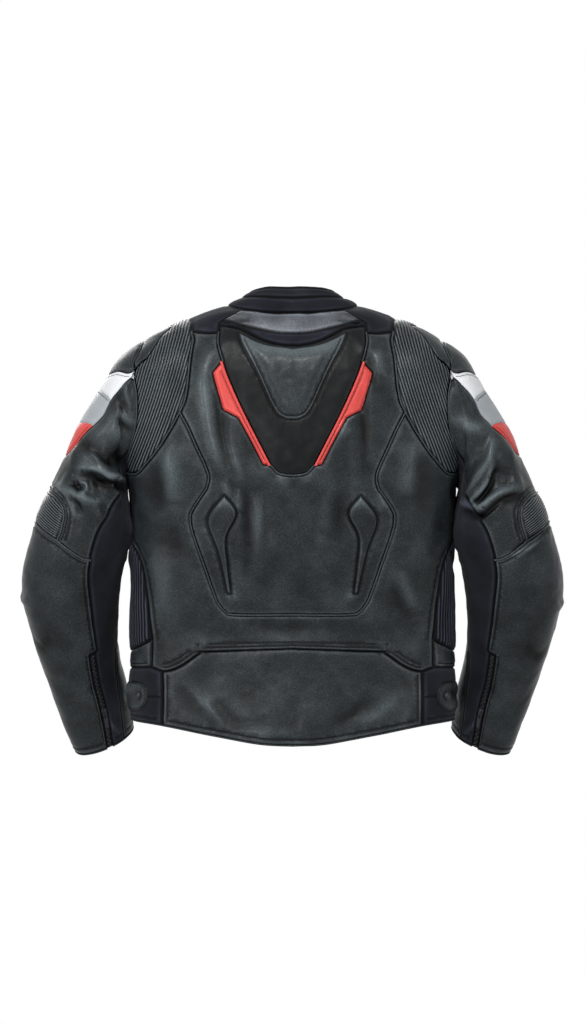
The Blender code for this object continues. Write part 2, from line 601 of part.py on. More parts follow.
def build_back():
    """Centre back, the panel round it, the shoulders' ribbed panels, the lower back and the neck."""
    neck_back = neck_rims(0, NECK_CORNER, False)
    yoke_neck = seam(TORSO_SKIN, [neck_back[-1].place, on_back(*YOKE_INNER[0])])
    yoke_inner_high = back_seam(YOKE_INNER[:2])
    yoke_inner_low = back_seam(YOKE_INNER[1:])
    yoke_foot = back_seam((YOKE_INNER[-1], (123, -34), ACCORDION_INNER[0]))
    yoke_outer = seam(TORSO_SKIN, [on_back(*p) for p in YOKE_EDGE] + list(YOKE_OUTER), FINE_STEP)
    neck_low = back_seam(NECK_LOW)
    hump_top = back_seam(HUMP_TOP)
    hump_high = back_seam(HUMP_EDGE[:2])
    hump_low = back_seam(HUMP_EDGE[1:])
    hump_foot = back_seam(HUMP_FOOT, FINE_STEP)
    flash_block = back_seam(FLASH_BLOCK[:2]) + back_seam(FLASH_BLOCK[1:3]) + back_seam(FLASH_BLOCK[2:])
    flash_strip = back_seam(FLASH_STRIP)
    flash_end = back_seam((FLASH_STRIP[-1], HUMP_FOOT[0]))
    accordion_inner = back_seam(ACCORDION_INNER)
    tip = tuple(armhole_clock(RIB_TIP_TURN))
    accordion_low = seam(TORSO_SKIN, [on_back(*p) for p in ACCORDION_LOW] + [tip])
    protector = back_seam(PROTECTOR) + back_seam(PROTECTOR_STEP) + back_seam(PROTECTOR_FOOT)
    lower_top = back_seam(LOWER_TOP)
    side_back = side_seam([tuple(armhole_clock(SIDE_BACK_TURN)), *SIDE_BACK])
    side_back_low = side_seam(SIDE_BACK_LOW)
    lower_corner = seam(TORSO_SKIN, (SIDE_BACK_LOW[-1], on_back(*LOWER_TOP[0])))
    lower_side_clock = on_back(184, -586)[0]
    lower_side = seam(TORSO_SKIN, (on_back(*LOWER_TOP[0]), hem_place(lower_side_clock)))

    panel("neck_panel", TORSO_SKIN, whole_loop(neck_back, yoke_neck, neck_low), "neck_grey")
    crescent = whole_loop(back(neck_low), yoke_inner_high, hump_top)
    panel("neck_insert", TORSO_SKIN, crescent, "stretch", STRETCH_WALL)
    hump = whole_loop(back(hump_top), yoke_inner_low, hump_high, hump_low, hump_foot)
    panel("hump_base", TORSO_SKIN, hump, "hump_leather")
    flash = loop_of(flash_block, flash_strip, flash_end, back(hump_low))
    panel("flash", TORSO_SKIN, flash, "red_leather", twin=True)
    centre = whole_loop(
        back(hump_foot), back(flash_end), back(flash_strip), back(flash_block), back(hump_high),
        yoke_foot, accordion_inner, protector,
    )
    panel("back_center", TORSO_SKIN, centre, "leather")
    outer = whole_loop(
        back(protector), accordion_low, armhole_rims(RIB_TIP_TURN, SIDE_BACK_TURN, False),
        side_back, side_back_low, lower_corner, lower_top,
    )
    panel("back_outer", TORSO_SKIN, outer, "leather")
    ribs = loop_of(
        accordion_inner, accordion_low, armhole_rims(RIB_TIP_TURN, SHOULDER_FRONT_TURN - 360, False),
        seam(TORSO_SKIN, (tuple(armhole_clock(SHOULDER_FRONT_TURN)), YOKE_OUTER[-1])), back(yoke_outer),
    )
    panel("shoulder_rib", TORSO_SKIN, ribs, "leather", twin=True)
    lower = whole_loop(back(lower_top), lower_side, hem_rims(lower_side_clock, 0))
    panel("lower_back", TORSO_SKIN, lower, "leather")

    neck_front = neck_rims(NECK_CORNER, NECK_FRONT, False)
    yoke_front = seam(TORSO_SKIN, (neck_front[-1].place, *YOKE_FRONT))
    yoke = loop_of(
        neck_front, yoke_front, back(yoke_outer), back(yoke_foot),
        back(yoke_inner_low), back(yoke_inner_high), back(yoke_neck),
    )
    panel("yoke", TORSO_SKIN, yoke, "stretch", STRETCH_WALL, twin=True)

    side_front = side_seam([tuple(armhole_clock(SIDE_FRONT_TURN)), *SIDE_FRONT])
    side_front_low = side_seam(SIDE_FRONT_LOW)
    rib_foot = side_seam(RIB_FOOT)
    leather_foot = side_seam(LEATHER_FOOT)
    side = loop_of(
        armhole_rims(SIDE_BACK_TURN, SIDE_FRONT_TURN, False), side_front, back(rib_foot), back(side_back),
    )
    panel("side_rib", TORSO_SKIN, side, "stretch", STRETCH_WALL, twin=True)
    side_leather = loop_of(rib_foot, side_front_low, back(leather_foot), back(side_back_low))
    panel("side_panel", TORSO_SKIN, side_leather, "leather", twin=True)
    waist_front_clock = SIDE_FRONT_LOW[-1][0]
    waist_front = seam(TORSO_SKIN, (SIDE_FRONT_LOW[-1], hem_place(waist_front_clock)))
    waist = loop_of(
        back(lower_corner), leather_foot, waist_front, hem_rims(waist_front_clock, lower_side_clock),
        back(lower_side),
    )
    panel("waist_stretch", TORSO_SKIN, waist, "stretch", STRETCH_WALL, twin=True)

    centre_edge = [on_front(ZIP_HALF, z) for z in (-554, -440, -330, -220, -130, -75, -45)]
    front = loop_of(
        hem_rims(centre_edge[0][0], waist_front_clock), back(waist_front), back(side_front_low),
        back(side_front), armhole_rims(SIDE_FRONT_TURN, SHOULDER_FRONT_TURN, False),
        seam(TORSO_SKIN, (tuple(armhole_clock(SHOULDER_FRONT_TURN)), YOKE_OUTER[-1])), back(yoke_front),
        neck_rims(NECK_FRONT, centre_edge[-1][0], False), back(seam(TORSO_SKIN, centre_edge)),
    )
    panel("front", TORSO_SKIN, front, "leather", twin=True)


def build_pads():
    """The hump's raised pad and the two blades, which lie on the back."""
    pad = loop_of(
        seam(TORSO_SKIN, [on_back(*p) for p in HUMP_PAD[:3]], FINE_STEP),
        seam(TORSO_SKIN, [on_back(*p) for p in HUMP_PAD[2:]], FINE_STEP),
    )
    pad = loop_of(pad, flipped(pad))
    panel("hump_pad", TORSO_SKIN, pad, "leather", 2.0, 16.0, LAY_GAP, (9.0, 26.0))
    blade = loop_of(
        back_seam(BLADE[:2], FINE_STEP), back_seam(BLADE[1:4], FINE_STEP), back_seam(BLADE[3:5], FINE_STEP),
        back_seam(BLADE[4:7], FINE_STEP), back_seam(BLADE[6:], FINE_STEP), back_seam((BLADE[-1], BLADE[0])),
    )
    panel("blade", TORSO_SKIN, blade, "leather", 1.6, 9.0, LAY_GAP, (3.5, 9.0), twin=True)


def build_sleeves():
    """Each sleeve: shoulder cup, colour blocks, upper, ribbed elbow, forearm, inner stretch and front."""
    cup_seam = arm_seam(sleeve_half(CUP_SEAM))
    cup_low = arm_seam(sleeve_half(CUP_LOW))
    white_low, grey_low = arm_seam(WHITE_LOW), arm_seam(GREY_LOW)
    white_grey = arm_seam(sleeve_half(WHITE_GREY))
    grey_red = arm_seam(sleeve_half(GREY_RED))
    red_low = arm_seam(sleeve_half(RED_LOW))
    white_low_front = arm_seam([(-t, r) for t, r in WHITE_LOW])
    grey_low_front = arm_seam([(-t, r) for t, r in GREY_LOW])
    elbow_top = arm_seam(sleeve_half(ELBOW_TOP))
    elbow_foot = arm_seam(sleeve_half(ELBOW_FOOT))
    elbow_rear, elbow_ahead = arm_seam(ELBOW_REAR), arm_seam(ELBOW_AHEAD)
    inner_upper, inner_lower = arm_seam(INNER_UPPER), arm_seam(INNER_LOWER)
    front_upper, front_lower = arm_seam(FRONT_SEAM_UPPER), arm_seam(FRONT_SEAM_LOWER)
    zip_outer, zip_inner = arm_seam(ZIP_OUTER), arm_seam(ZIP_INNER)
    gusset, gusset_top = arm_seam(GUSSET), arm_seam(GUSSET_TOP)
    inner_front = arm_seam(INNER_FRONT)
    insert_side, insert_end = arm_seam(INSERT_TOP[:2]), arm_seam(INSERT_TOP[1:])

    def cuff(first, last):
        turns = np.linspace(first, last, max(1, round(abs(last - first) / 22)) + 1)
        return rims(SLEEVE_SKIN, [(t, CUFF) for t in turns])

    def sewn(name, loop, material, wall=LEATHER_WALL):
        panel(name, SLEEVE_SKIN, loop, material, wall, twin=True)

    sewn("sleeve_cup_inner", loop_of(armhole_rims(-CUP_TURN, CUP_TURN, True), cup_seam), "leather")
    sewn("sleeve_cup_outer", loop_of(cup_seam, back(cup_low)), "leather")
    white = loop_of(
        cup_low, armhole_rims(-CUP_TURN, -WHITE_TURN, True), white_low_front, back(white_grey),
        back(white_low), armhole_rims(WHITE_TURN, CUP_TURN, True),
    )
    sewn("sleeve_white", white, "white_leather")
    sewn("sleeve_grey", loop_of(white_grey, grey_low_front, back(grey_red), back(grey_low)), "grey_leather")
    sewn("sleeve_red", loop_of(grey_red, back(red_low)), "red_leather")
    upper = loop_of(
        armhole_rims(WHITE_TURN, INNER_TURN, True), inner_upper, elbow_rear, elbow_top, elbow_ahead,
        back(front_upper), back(red_low), back(grey_low), back(white_low),
    )
    sewn("sleeve_upper", upper, "leather")
    sewn("sleeve_elbow_rib", loop_of(elbow_top, back(elbow_foot)), "leather")
    forearm = loop_of(
        back(elbow_ahead), back(elbow_foot), back(elbow_rear), inner_lower, insert_side, insert_end,
        zip_outer, cuff(ZIP_OUTER[-1][0], FRONT_SEAM_LOWER[-1][0]), back(front_lower),
    )
    sewn("sleeve_forearm", forearm, "leather")
    zipper = loop_of(insert_end, zip_outer, cuff(ZIP_OUTER[-1][0], ZIP_INNER[-1][0]), back(zip_inner))
    sewn("cuff_zip", zipper, "zip_tape", STRETCH_WALL)
    inner = loop_of(
        armhole_rims(INNER_TURN, INNER_FRONT_TURN, True), inner_front, back(gusset_top), gusset,
        cuff(GUSSET[-1][0], ZIP_INNER[-1][0]), back(zip_inner), back(insert_side), back(inner_lower),
        back(inner_upper),
    )
    sewn("sleeve_stretch", inner, "stretch", STRETCH_WALL)
    around = [Rim((r.place[0] + 360, r.place[1]), r.point, r.out) for r in front_upper + front_lower]
    up_front = [
        Rim((r.place[0] + 360, r.place[1]), r.point, r.out)
        for r in back(grey_low_front) + back(white_low_front)
    ]
    front = loop_of(
        armhole_rims(INNER_FRONT_TURN, 360 - WHITE_TURN, True), back(up_front), around,
        cuff(360 + FRONT_SEAM_LOWER[-1][0], GUSSET[-1][0]), back(gusset), gusset_top, back(inner_front),
    )
    sewn("sleeve_front", front, "leather")


def build_collar():
    """The stretch collar, its soft top band and the closed front zip that runs up between their ends."""
    end = on_front(ZIP_HALF, NECKLINE[-1][1])[0]
    top_end = 180 - math.degrees(math.asin(ZIP_HALF / COLLAR_HALF_WIDTH))
    seam_end = (end + top_end) / 2
    clocks = np.linspace(seam_end, -seam_end, 37)
    band_seam = rims(COLLAR_SKIN, [(c, float(along(BAND_SEAM, abs(c))[0])) for c in clocks])
    foot = neck_rims(-end, end, True)
    panel("collar", COLLAR_SKIN, loop_of(foot, band_seam), "stretch", COLLAR_WALL)
    top = rims(COLLAR_SKIN, [(c, 1.0) for c in np.linspace(-top_end, top_end, 37)])
    panel("collar_band", COLLAR_SKIN, loop_of(back(band_seam), back(top)), "soft_band", COLLAR_WALL)


def build_front_zip():
    """The closed zip's tapes and teeth as one strip, from the hem up over the collar."""
    half = ZIP_HALF - SEAM_GAP / 2
    low, high = float(along(HEM, 180)[0]) + SEAM_GAP, NECKLINE[-1][1]
    heights = np.linspace(low, high, 19)
    skins, rows = [], []
    for height in heights[:-1]:
        rows.append([on_front(x, height) for x in (half, 0.0, -half)])
        skins.append(TORSO_SKIN)
    for rise in (0.05, 0.3, 0.6, ZIP_TOP_RISE):
        size = COLLAR_HALF_WIDTH + (1 - rise) * (abs(torso_point(180, high)[1]) - COLLAR_HALF_WIDTH)
        rows.append([(180 - math.degrees(math.asin(x / size)), rise) for x in (half, 0.0, -half)])
        skins.append(COLLAR_SKIN)
    places = [np.array([(c if c >= 0 else c + 360, v) for c, v in row]) for row in rows]
    outer = np.vstack([skin.point(row[:, 0], row[:, 1]) for skin, row in zip(skins, places)])
    out = np.vstack([way_out(skin, row) for skin, row in zip(skins, places)])
    triangles = []
    for k in range(len(rows) - 1):
        for side in range(2):
            a = 3 * k + side
            triangles += [[a, a + 3, a + 1], [a + 1, a + 3, a + 4]]
    walled("front_zip", triangles, outer, outer - out * STRETCH_WALL, "zip_tape")


def build_waist_tabs():
    """The waist's adjuster tabs, sewn in at the front and lying round the side, each with its snap."""
    end = [on_back(x, z) for x, z in TAB_END]
    root_top, root_low = (TAB_ROOT_CLOCK, TAB_END[0][1] - 1), (TAB_ROOT_CLOCK, TAB_END[-1][1] + 1)
    loop = loop_of(
        seam(TORSO_SKIN, (root_top, (92, root_top[1]), *end, (92, root_low[1]), root_low), FINE_STEP),
        seam(TORSO_SKIN, (root_low, root_top), FINE_STEP),
    )
    panel("waist_tab", TORSO_SKIN, loop, "leather", TAB_WALL, FINE_STEP, LAY_GAP, twin=True)
    place = on_back(*SNAP_PLACE)
    seat = torso_point(*place) + way_out(TORSO_SKIN, [place])[0] * (LAY_GAP + TAB_WALL + SEAM_GAP)
    frame = local_frame(seat, way_out(TORSO_SKIN, [place])[0], Vector((0, 0, 1)))
    mesh = bpy.data.meshes.new("waist_snap")
    bm = bmesh.new()
    bmesh.ops.create_cone(
        bm, cap_ends=True, segments=20, radius1=SNAP_RADIUS * MM, radius2=SNAP_TOP_RADIUS * MM,
        depth=SNAP_HEIGHT * MM, matrix=Matrix.Translation((0, 0, SNAP_HEIGHT / 2 * MM)),
    )
    bm.transform(frame)
    bm.to_mesh(mesh)
    bm.transform(Matrix.Diagonal((-1, 1, 1, 1)))
    bmesh.ops.reverse_faces(bm, faces=bm.faces[:])
    other = bpy.data.meshes.new("waist_snap_right")
    bm.to_mesh(other)
    bm.free()
    new_object("waist_snap_left", mesh, "zip_metal")
    new_object("waist_snap_right", other, "zip_metal")


def local_frame(seat, out, up):
    """A frame at a seat in millimetres: Z out of the cloth, Y as near up as it can be, X across."""
    out = Vector(out).normalized()
    across = Vector(up).cross(out).normalized()
    rise = out.cross(across)
    frame = Matrix((across, rise, out)).transposed().to_4x4()
    frame.translation = Vector(seat) * MM
    return frame


def prism(outline, low, high, axes):
    """A mesh of an outline in millimetres, drawn in two axes and thickened along the third."""
    bm = bmesh.new()
    third = 3 - sum(axes)
    ring = []
    for spot in outline:
        point = [0.0, 0.0, 0.0]
        point[axes[0]], point[axes[1]], point[third] = spot[0] * MM, spot[1] * MM, low * MM
        ring.append(bm.verts.new(point))
    face = bm.faces.new(ring)
    grown = bmesh.ops.extrude_face_region(bm, geom=[face], use_keep_orig=True)
    step = Vector((0, 0, 0))
    step[third] = (high - low) * MM
    bmesh.ops.translate(bm, vec=step, verts=[v for v in grown["geom"] if isinstance(v, bmesh.types.BMVert)])
    bmesh.ops.recalc_face_normals(bm, faces=bm.faces[:])
    mesh = bpy.data.meshes.new("prism")
    bm.to_mesh(mesh)
    bm.free()
    return mesh


def zip_slider(name, frame, scale):
    """A slider's body with the bridge that its pull turns under, and the pull, hanging down the zip."""
    size = Matrix.Scale(scale, 4)
    wide, narrow, top = SLIDER_WIDE / 2, SLIDER_NARROW / 2, SLIDER_LENGTH / 2
    corner = SLIDER_CORNER
    plan = (
        (-wide, top - corner), (-wide + corner, top), (wide - corner, top), (wide, top - corner),
        (wide, corner), (narrow, -top), (-narrow, -top), (-wide, corner),
    )
    body = new_object(name, prism(plan, SLIDER_FLOAT, SLIDER_TOP, (0, 1)), "zip_metal")
    leg, roof, root, corner = BRIDGE_REACH, BRIDGE_TOP, SLIDER_TOP - BRIDGE_ROOT, BRIDGE_CORNER
    inner = leg - BRIDGE_LEG
    ceiling = roof - BRIDGE_LEG
    arch = (
        (-leg, root), (-leg, roof - corner), (-leg + corner, roof), (leg - corner, roof), (leg, roof - corner),
        (leg, root), (inner, root), (inner, ceiling), (-inner, ceiling), (-inner, root),
    )
    bridge = bpy.data.objects.new(name + "_bridge", prism(arch, -BRIDGE_HALF, BRIDGE_HALF, (1, 2)))
    bpy.data.collections["joining_shapes"].objects.link(bridge)
    bridge.hide_render = True
    bridge.display_type = "WIRE"
    for piece in (body, bridge):
        piece.matrix_world = frame @ size
    union = body.modifiers.new("bridge", "BOOLEAN")
    union.operation = "UNION"
    union.object = bridge

    outline = bpy.data.curves.new(name + "_pull", "CURVE")
    outline.dimensions = "2D"
    outline.fill_mode = "BOTH"
    outline.extrude = PULL_THICK / 2 * MM
    half, eye, near = PULL_WIDE / 2, PULL_EYE_WIDE / 2, PULL_BAR / 2
    end, neck = half * PULL_TAPER, -PULL_EYE_LENGTH - PULL_BAR
    round_end = [
        (end * math.cos(a), end - PULL_LENGTH - end * math.sin(a)) for a in np.radians(np.linspace(0, 180, 9))
    ]
    plate = [(-half, near), (half, near), (half, neck), *round_end, (-half, neck)]
    hole = [(-eye, -near), (eye, -near), (eye, neck + near), (-eye, neck + near)]
    for ring in (plate, hole):
        spline = outline.splines.new("POLY")
        spline.points.add(len(ring) - 1)
        for point, (x, y) in zip(spline.points, ring):
            point.co = (x * MM, y * MM, 0, 1)
        spline.use_cyclic_u = True
    pull = new_object(name.replace("slider", "pull"), outline, "zip_metal")
    hinge = Matrix.Translation((0, PULL_SEAT * MM, PULL_HEIGHT * MM))
    rest = Matrix.Rotation(math.radians(PULL_REST), 4, "X")
    pull.matrix_world = frame @ size @ hinge @ rest


def build_sliders():
    """The front zip's slider at the top of the collar and one slider near each cuff, with their pulls."""
    place = np.array([180.0, FRONT_SLIDER_RISE])
    seat, out = collar_point(*place), way_out(COLLAR_SKIN, [place])[0]
    up = collar_point(180.0, FRONT_SLIDER_RISE + 0.05) - seat
    zip_slider("front_slider", local_frame(seat, out, up), 1.0)
    place = np.array(CUFF_SLIDER_PLACE)
    seat, out = sleeve_point(*place), way_out(SLEEVE_SKIN, [place])[0]
    up = seat - sleeve_point(place[0] - 0.7, place[1] + 0.2)
    for side, name in ((1, "left"), (-1, "right")):
        mirror = np.array([side, 1, 1])
        frame = local_frame(seat * mirror, out * mirror, up * mirror)
        zip_slider(f"cuff_slider_{name}", frame, CUFF_SLIDER_SCALE)


def main():
    for old in list(bpy.data.objects):
        bpy.data.objects.remove(old)
    group = bpy.data.collections.new("leather_motorcycle_jacket")
    joining = bpy.data.collections.new("joining_shapes")
    for made in (group, joining):
        bpy.context.scene.collection.children.link(made)
    build_back()
    build_pads()
    build_sleeves()
    build_collar()
    build_front_zip()
    build_waist_tabs()
    build_sliders()


main()
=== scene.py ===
"""Leather motorcycle jacket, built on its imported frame.

The jacket's back faces +Y, its front faces -Y and the wearer's left arm is on +X. Tables hold
millimetres and degrees. Each cloth panel is the area inside a loop of seams on one of three skins: the
torso, a sleeve or the collar. It is meshed finely, and its relief adds the rolled seams, stitched
channels, ribs and creases.
"""

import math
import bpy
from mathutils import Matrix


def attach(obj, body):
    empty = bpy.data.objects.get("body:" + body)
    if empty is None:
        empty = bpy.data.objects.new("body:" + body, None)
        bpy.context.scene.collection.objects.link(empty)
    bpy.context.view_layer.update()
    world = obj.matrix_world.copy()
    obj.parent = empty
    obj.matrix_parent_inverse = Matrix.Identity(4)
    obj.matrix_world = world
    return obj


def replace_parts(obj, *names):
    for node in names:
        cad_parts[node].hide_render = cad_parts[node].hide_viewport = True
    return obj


bl_info = {
    "name": "Leather motorcycle jacket",
    "version": (1, 0, 0),
    "blender": (4, 5, 0),
    "location": "View3D > Sidebar > Jacket",
    "description": "Builds a leather motorcycle jacket with its seams, ribs, pads, zips and stitches",
    "category": "Add Mesh",
}

from collections import namedtuple

import bmesh
import bpy
import numpy as np
from mathutils import Matrix, Vector
from mathutils.geometry import delaunay_2d_cdt

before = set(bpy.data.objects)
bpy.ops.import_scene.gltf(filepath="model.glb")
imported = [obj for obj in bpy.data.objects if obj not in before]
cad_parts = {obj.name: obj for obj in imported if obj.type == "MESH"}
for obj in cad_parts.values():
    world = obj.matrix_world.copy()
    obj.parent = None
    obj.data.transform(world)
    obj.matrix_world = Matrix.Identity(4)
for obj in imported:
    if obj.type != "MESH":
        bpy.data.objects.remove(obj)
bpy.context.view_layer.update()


MM = 0.001
HAIR = 1e-3
# Cloth thicknesses, the gap at a seam, negative where edges are sewn into it, and the gap under laid cloth.
LEATHER_WALL, STRETCH_WALL, COLLAR_WALL = 1.6, 1.4, 2.4
SEAM_GAP, LAY_GAP = -0.3, 0.6
# Spacing of points along a seam, and of the rows just inside a panel's edge.
EDGE_STEP = 3.0
EDGE_ROWS = (0.9, 2.0, 3.3)
# A panel swells away from its seam and rolls under at it: height and reach of each.
SEAM_PUFF, PUFF_REACH = 1.0, 9.0
SEAM_ROLL, ROLL_REACH = 2.1, 1.9
# Uneven swells of supple cloth: length, height, tilt of the pattern.
LUMPS = ((83.0, 0.9, 0.4), (37.0, 0.45, 1.9), (17.0, 0.16, 3.1))
# Ribbed panels: mesh step across and along a rib, pitch and height of each kind of rib.
RIB_FINE, RIB_ALONG, RIB_DROP = 0.8, 5.0, 0.35
RIB_LEAN, RIB_CURL = 0.19, 0.00055
SHOULDER_PITCH, SHOULDER_RIB = 4.1, 1.0
ELBOW_PITCH, ELBOW_RIB = 3.4, 1.2
SIDE_PITCH, SIDE_RIB = 4.3, 1.6
# Painted light: how much creases lighten their crests and darken their hollows, and the painted highlight on the
# ridge beside a seam, with its place and reach.
CREASE_TONE, RIDGE_TONE, RIDGE_PLACE, RIDGE_REACH = 0.10, 0.22, 3.4, 1.5
# Tone of plain cloth, the painted shade where it rolls under at a seam, and the tone of small pieces.
PLAIN_TONE, ROLL_TONE, EVEN_TONE = 0.5, 0.5, 0.55
# How little the colour blocks roll under at their seams, and how little painted shade and highlight they get there.
BLOCK_ROLL = 0.35
# Padded neck panel: height, reach, the painted sheen at its middle and the painted shade towards its ends.
NECK_PUFF, NECK_REACH, NECK_TONE, NECK_TONE_LOSS = 2.0, 8.0, 0.2, 0.6
# The roll along the top of the hump's pad and of each blade: how wide it is and how strong its painted highlight is.
TOP_ROLL, TOP_SHINE = 12.0, 0.35
HUMP_RISE, HUMP_REACH = 9.0, 26.0
BLADE_RISE, BLADE_REACH = 4.5, 7.5
# How much every crease is raised, and the rows of mesh along the sharper ones as shares of their reach.
CREASE_GAIN, SHARP_REACH, CREASE_SPREAD = 1.6, 7, (-1.3, -0.75, -0.3, 0.3, 0.75, 1.3)
# A crease: how many reaches wide it counts, how its ends taper, and the step of its rows.
CREASE_FADE, CREASE_TAPER, CREASE_ROW_STEP = 2.6, 0.7, 2.6
# Clearances of the mesh's spots from rows, rims, creases and grooves, and the cells that thin them out.
ROW_CLEAR, RIM_CLEAR, CREASE_CLEAR, GROOVE_CLEAR = 1.4, 0.6, 1.2, 1.9
CREASE_CELL, SPREAD_CELL = 1.9, 3.2
# The lip beside a stitched groove: height, place, the painted highlight on the lip and the painted shade in the
# groove.
LIP_RISE, LIP_PLACE, LIP_TONE, GROOVE_TONE = 0.4, 2.4, 0.12, 0.4
# Ribs: how far in from the seam they reach full height, the painted highlight on their crests, and the level below
# which they get painted shade instead.
RIB_SEWN, RIB_SHINE, RIB_MIDDLE = 2.5, 1.4, 0.62
STITCH_PITCH, STITCH_LENGTH, THREAD_RADIUS = 3.6, 2.7, 0.3
TOOTH_PITCH, TOOTH_LONG, TOOTH_WIDE, TOOTH_HIGH, TOOTH_SHIFT = 2.9, 1.9, 4.6, 1.5, 0.9
ZIP_SINK = 0.2
RED_CORD, RED_CORD_SHIFT, RED_CORD_LIFT = 1.9, 2.2, 0.4
EDGE_FOLD, COLLAR_FOLD = 1.1, 1.5
METAL_EDGE = 0.25
# Section of a snap's cap: radius, height.
SNAP_PROFILE = (
    (6.2, 0.0), (6.2, 1.4), (5.9, 2.0), (5.4, 2.2), (4.7, 2.0), (4.3, 1.5),
    (3.9, 1.7), (3.2, 2.3), (1.8, 2.7), (0.0, 2.8),
)
# Zip sliders and pulls, and the body each moves with.
METAL_NODES = (
    ("front_slider", "jacket"), ("cuff_slider_left", "jacket"), ("cuff_slider_right", "jacket"),
    ("front_pull", "front_zip_pull"), ("cuff_pull_left", "cuff_zip_pull_left"),
    ("cuff_pull_right", "cuff_zip_pull_right"),
)
# The stage, in metres: floor, camera, and lamps by place, target, size and watts.
FLOOR_HEIGHT, FLOOR_RADIUS, WORLD_LIGHT = -1.45, 2.8, 0.22
CAMERA_PLACE, CAMERA_LENS = (0.0, 12.0, -0.287), 198.0
LAMPS = (
    ("key", (0.4, 2.1, 2.2), (0.0, 0.0, -0.3), (1.2, 0.7), 66.0),
    ("behind", (0.9, 3.6, 0.6), (0.0, 0.0, -0.35), (1.0, 1.0), 30.0),
    ("left", (2.2, 1.8, 0.3), (0.0, 0.0, -0.3), (0.4, 1.6), 22.0),
    ("right", (-2.2, 1.8, 0.3), (0.0, 0.0, -0.3), (0.4, 1.6), 15.0),
    ("front", (0.6, -3.0, 1.4), (0.0, 0.0, -0.3), (2.0, 2.0), 60.0),
)

# Torso sections: height, half width, depth to the back, depth to the front, squareness of the oval.
TORSO = (
    (14.0, 76.0, 42.0, 34.0, 2.0),
    (6.0, 95.0, 51.0, 42.0, 2.0),
    (-6.0, 131.0, 61.0, 52.0, 2.1),
    (-20.0, 170.0, 71.0, 61.0, 2.2),
    (-32.0, 192.0, 79.0, 68.0, 2.3),
    (-48.0, 211.0, 88.0, 77.0, 2.5),
    (-66.0, 226.0, 96.0, 87.0, 2.7),
    (-88.0, 238.0, 104.0, 97.0, 2.85),
    (-115.0, 244.0, 111.0, 107.0, 2.9),
    (-150.0, 246.0, 118.0, 117.0, 2.9),
    (-200.0, 243.0, 124.0, 126.0, 2.85),
    (-235.0, 237.0, 126.0, 129.0, 2.7),
    (-250.0, 233.0, 126.5, 129.0, 2.65),
    (-300.0, 229.0, 125.0, 128.0, 2.5),
    (-380.0, 228.0, 117.0, 125.0, 2.4),
    (-450.0, 229.0, 107.0, 120.0, 2.4),
    (-520.0, 231.0, 106.0, 119.0, 2.4),
    (-620.0, 229.0, 119.0, 122.0, 2.4),
)
# Armhole, once round from the shoulder point over the back: clock angle on the torso, height.
ARMHOLE = (
    (84.0, -22.0),
    (78.0, -40.0),
    (74.5, -65.0),
    (76.0, -87.0),
    (72.0, -123.0),
    (71.0, -158.0),
    (73.0, -186.0),
    (78.0, -212.0),
    (84.0, -236.0),
    (90.0, -250.0),
    (100.0, -248.0),
    (109.0, -228.0),
    (114.0, -196.0),
    (116.0, -158.0),
    (117.0, -122.0),
    (117.0, -90.0),
    (113.0, -62.0),
    (102.0, -38.0),
)
# Sleeve ovals: outer x and z, inner x and z, middle y, half depth, tilt, outward bow of the middle.
SLEEVE = (
    (209.0, -41.5, 238.0, -256.0, 2.0, 71.0, 0.0, 16.0),
    (243.0, -66.0, 239.0, -266.0, 4.0, 71.0, 0.0, 6.0),
    (275.0, -116.0, 236.5, -281.0, 8.0, 69.0, 0.0, 3.0),
    (307.5, -170.0, 234.0, -297.0, 12.0, 68.0, 0.0, 0.0),
    (334.5, -235.0, 231.5, -313.0, 16.0, 68.0, 0.0, 0.0),
    (357.0, -281.0, 232.5, -329.0, 17.0, 67.0, 3.0, 0.0),
    (370.0, -323.0, 236.0, -345.0, 15.0, 66.0, 7.0, 0.0),
    (381.5, -366.0, 240.5, -366.0, 9.0, 64.0, 13.0, 0.0),
    (383.0, -400.0, 245.0, -390.0, 1.0, 61.0, 18.0, 0.0),
    (377.0, -434.0, 248.0, -419.0, -10.0, 57.5, 22.0, 0.0),
    (363.0, -483.0, 249.5, -454.0, -27.0, 52.5, 25.0, 0.0),
    (346.0, -534.0, 246.0, -497.0, -48.0, 47.0, 26.0, 0.0),
    (329.0, -582.0, 235.5, -542.0, -70.0, 42.0, 26.0, 0.0),
    (312.5, -627.0, 227.0, -595.0, -92.0, 38.0, 26.0, 0.0),
)
CUFF = float(len(SLEEVE))
# The largest folds: rise out of the cloth, or sink if negative, reach to each side, places of the crest.
SLEEVE_FOLDS = (
    (7.0, 14.0, ((124, 3.7), (98, 3.65), (66, 3.95), (46, 4.35))),
    (-6.0, 13.0, ((112, 4.6), (88, 4.45), (64, 4.75))),
    (5.0, 12.0, ((100, 5.3), (72, 5.05), (48, 4.95))),
    (6.0, 14.0, ((232, 5.2), (262, 5.0), (292, 5.3))),
    (-6.0, 14.0, ((238, 6.1), (264, 5.9), (290, 6.3))),
    (5.0, 14.0, ((240, 7.0), (266, 6.9), (288, 7.3))),
)
# The torso's largest folds are alike on both halves.
TORSO_FOLDS = tuple(
    (rise, reach, tuple((side * clock, height) for clock, height in crest))
    for rise, reach, crest in (
        (4.0, 16.0, ((52, -62), (49, -100))),
        (-4.0, 17.0, ((18, -262), (15, -312))),
        (-5.0, 18.0, ((60, -455), (44, -462))),
        (6.0, 22.0, ((150, -300), (138, -345), (128, -380))),
    )
    for side in (1, -1)
)

# Neckline, top edge and band seam of the collar by clock angle.
NECKLINE = ((0, -5), (30, -4), (60, 1), (78, 6), (90, 7), (103, 3), (130, -17), (155, -36), (180, -45))
COLLAR_TOP = ((0, 31), (40, 31), (62, 28), (90, 18), (135, 4), (180, -8))
BAND_SEAM = ((0, 0.57), (60, 0.64), (90, 0.70), (180, 0.62))
COLLAR_HALF_WIDTH, COLLAR_HALF_DEPTH, COLLAR_MIDDLE_Y, COLLAR_BULGE = 64.0, 62.0, -12.0, 3.0
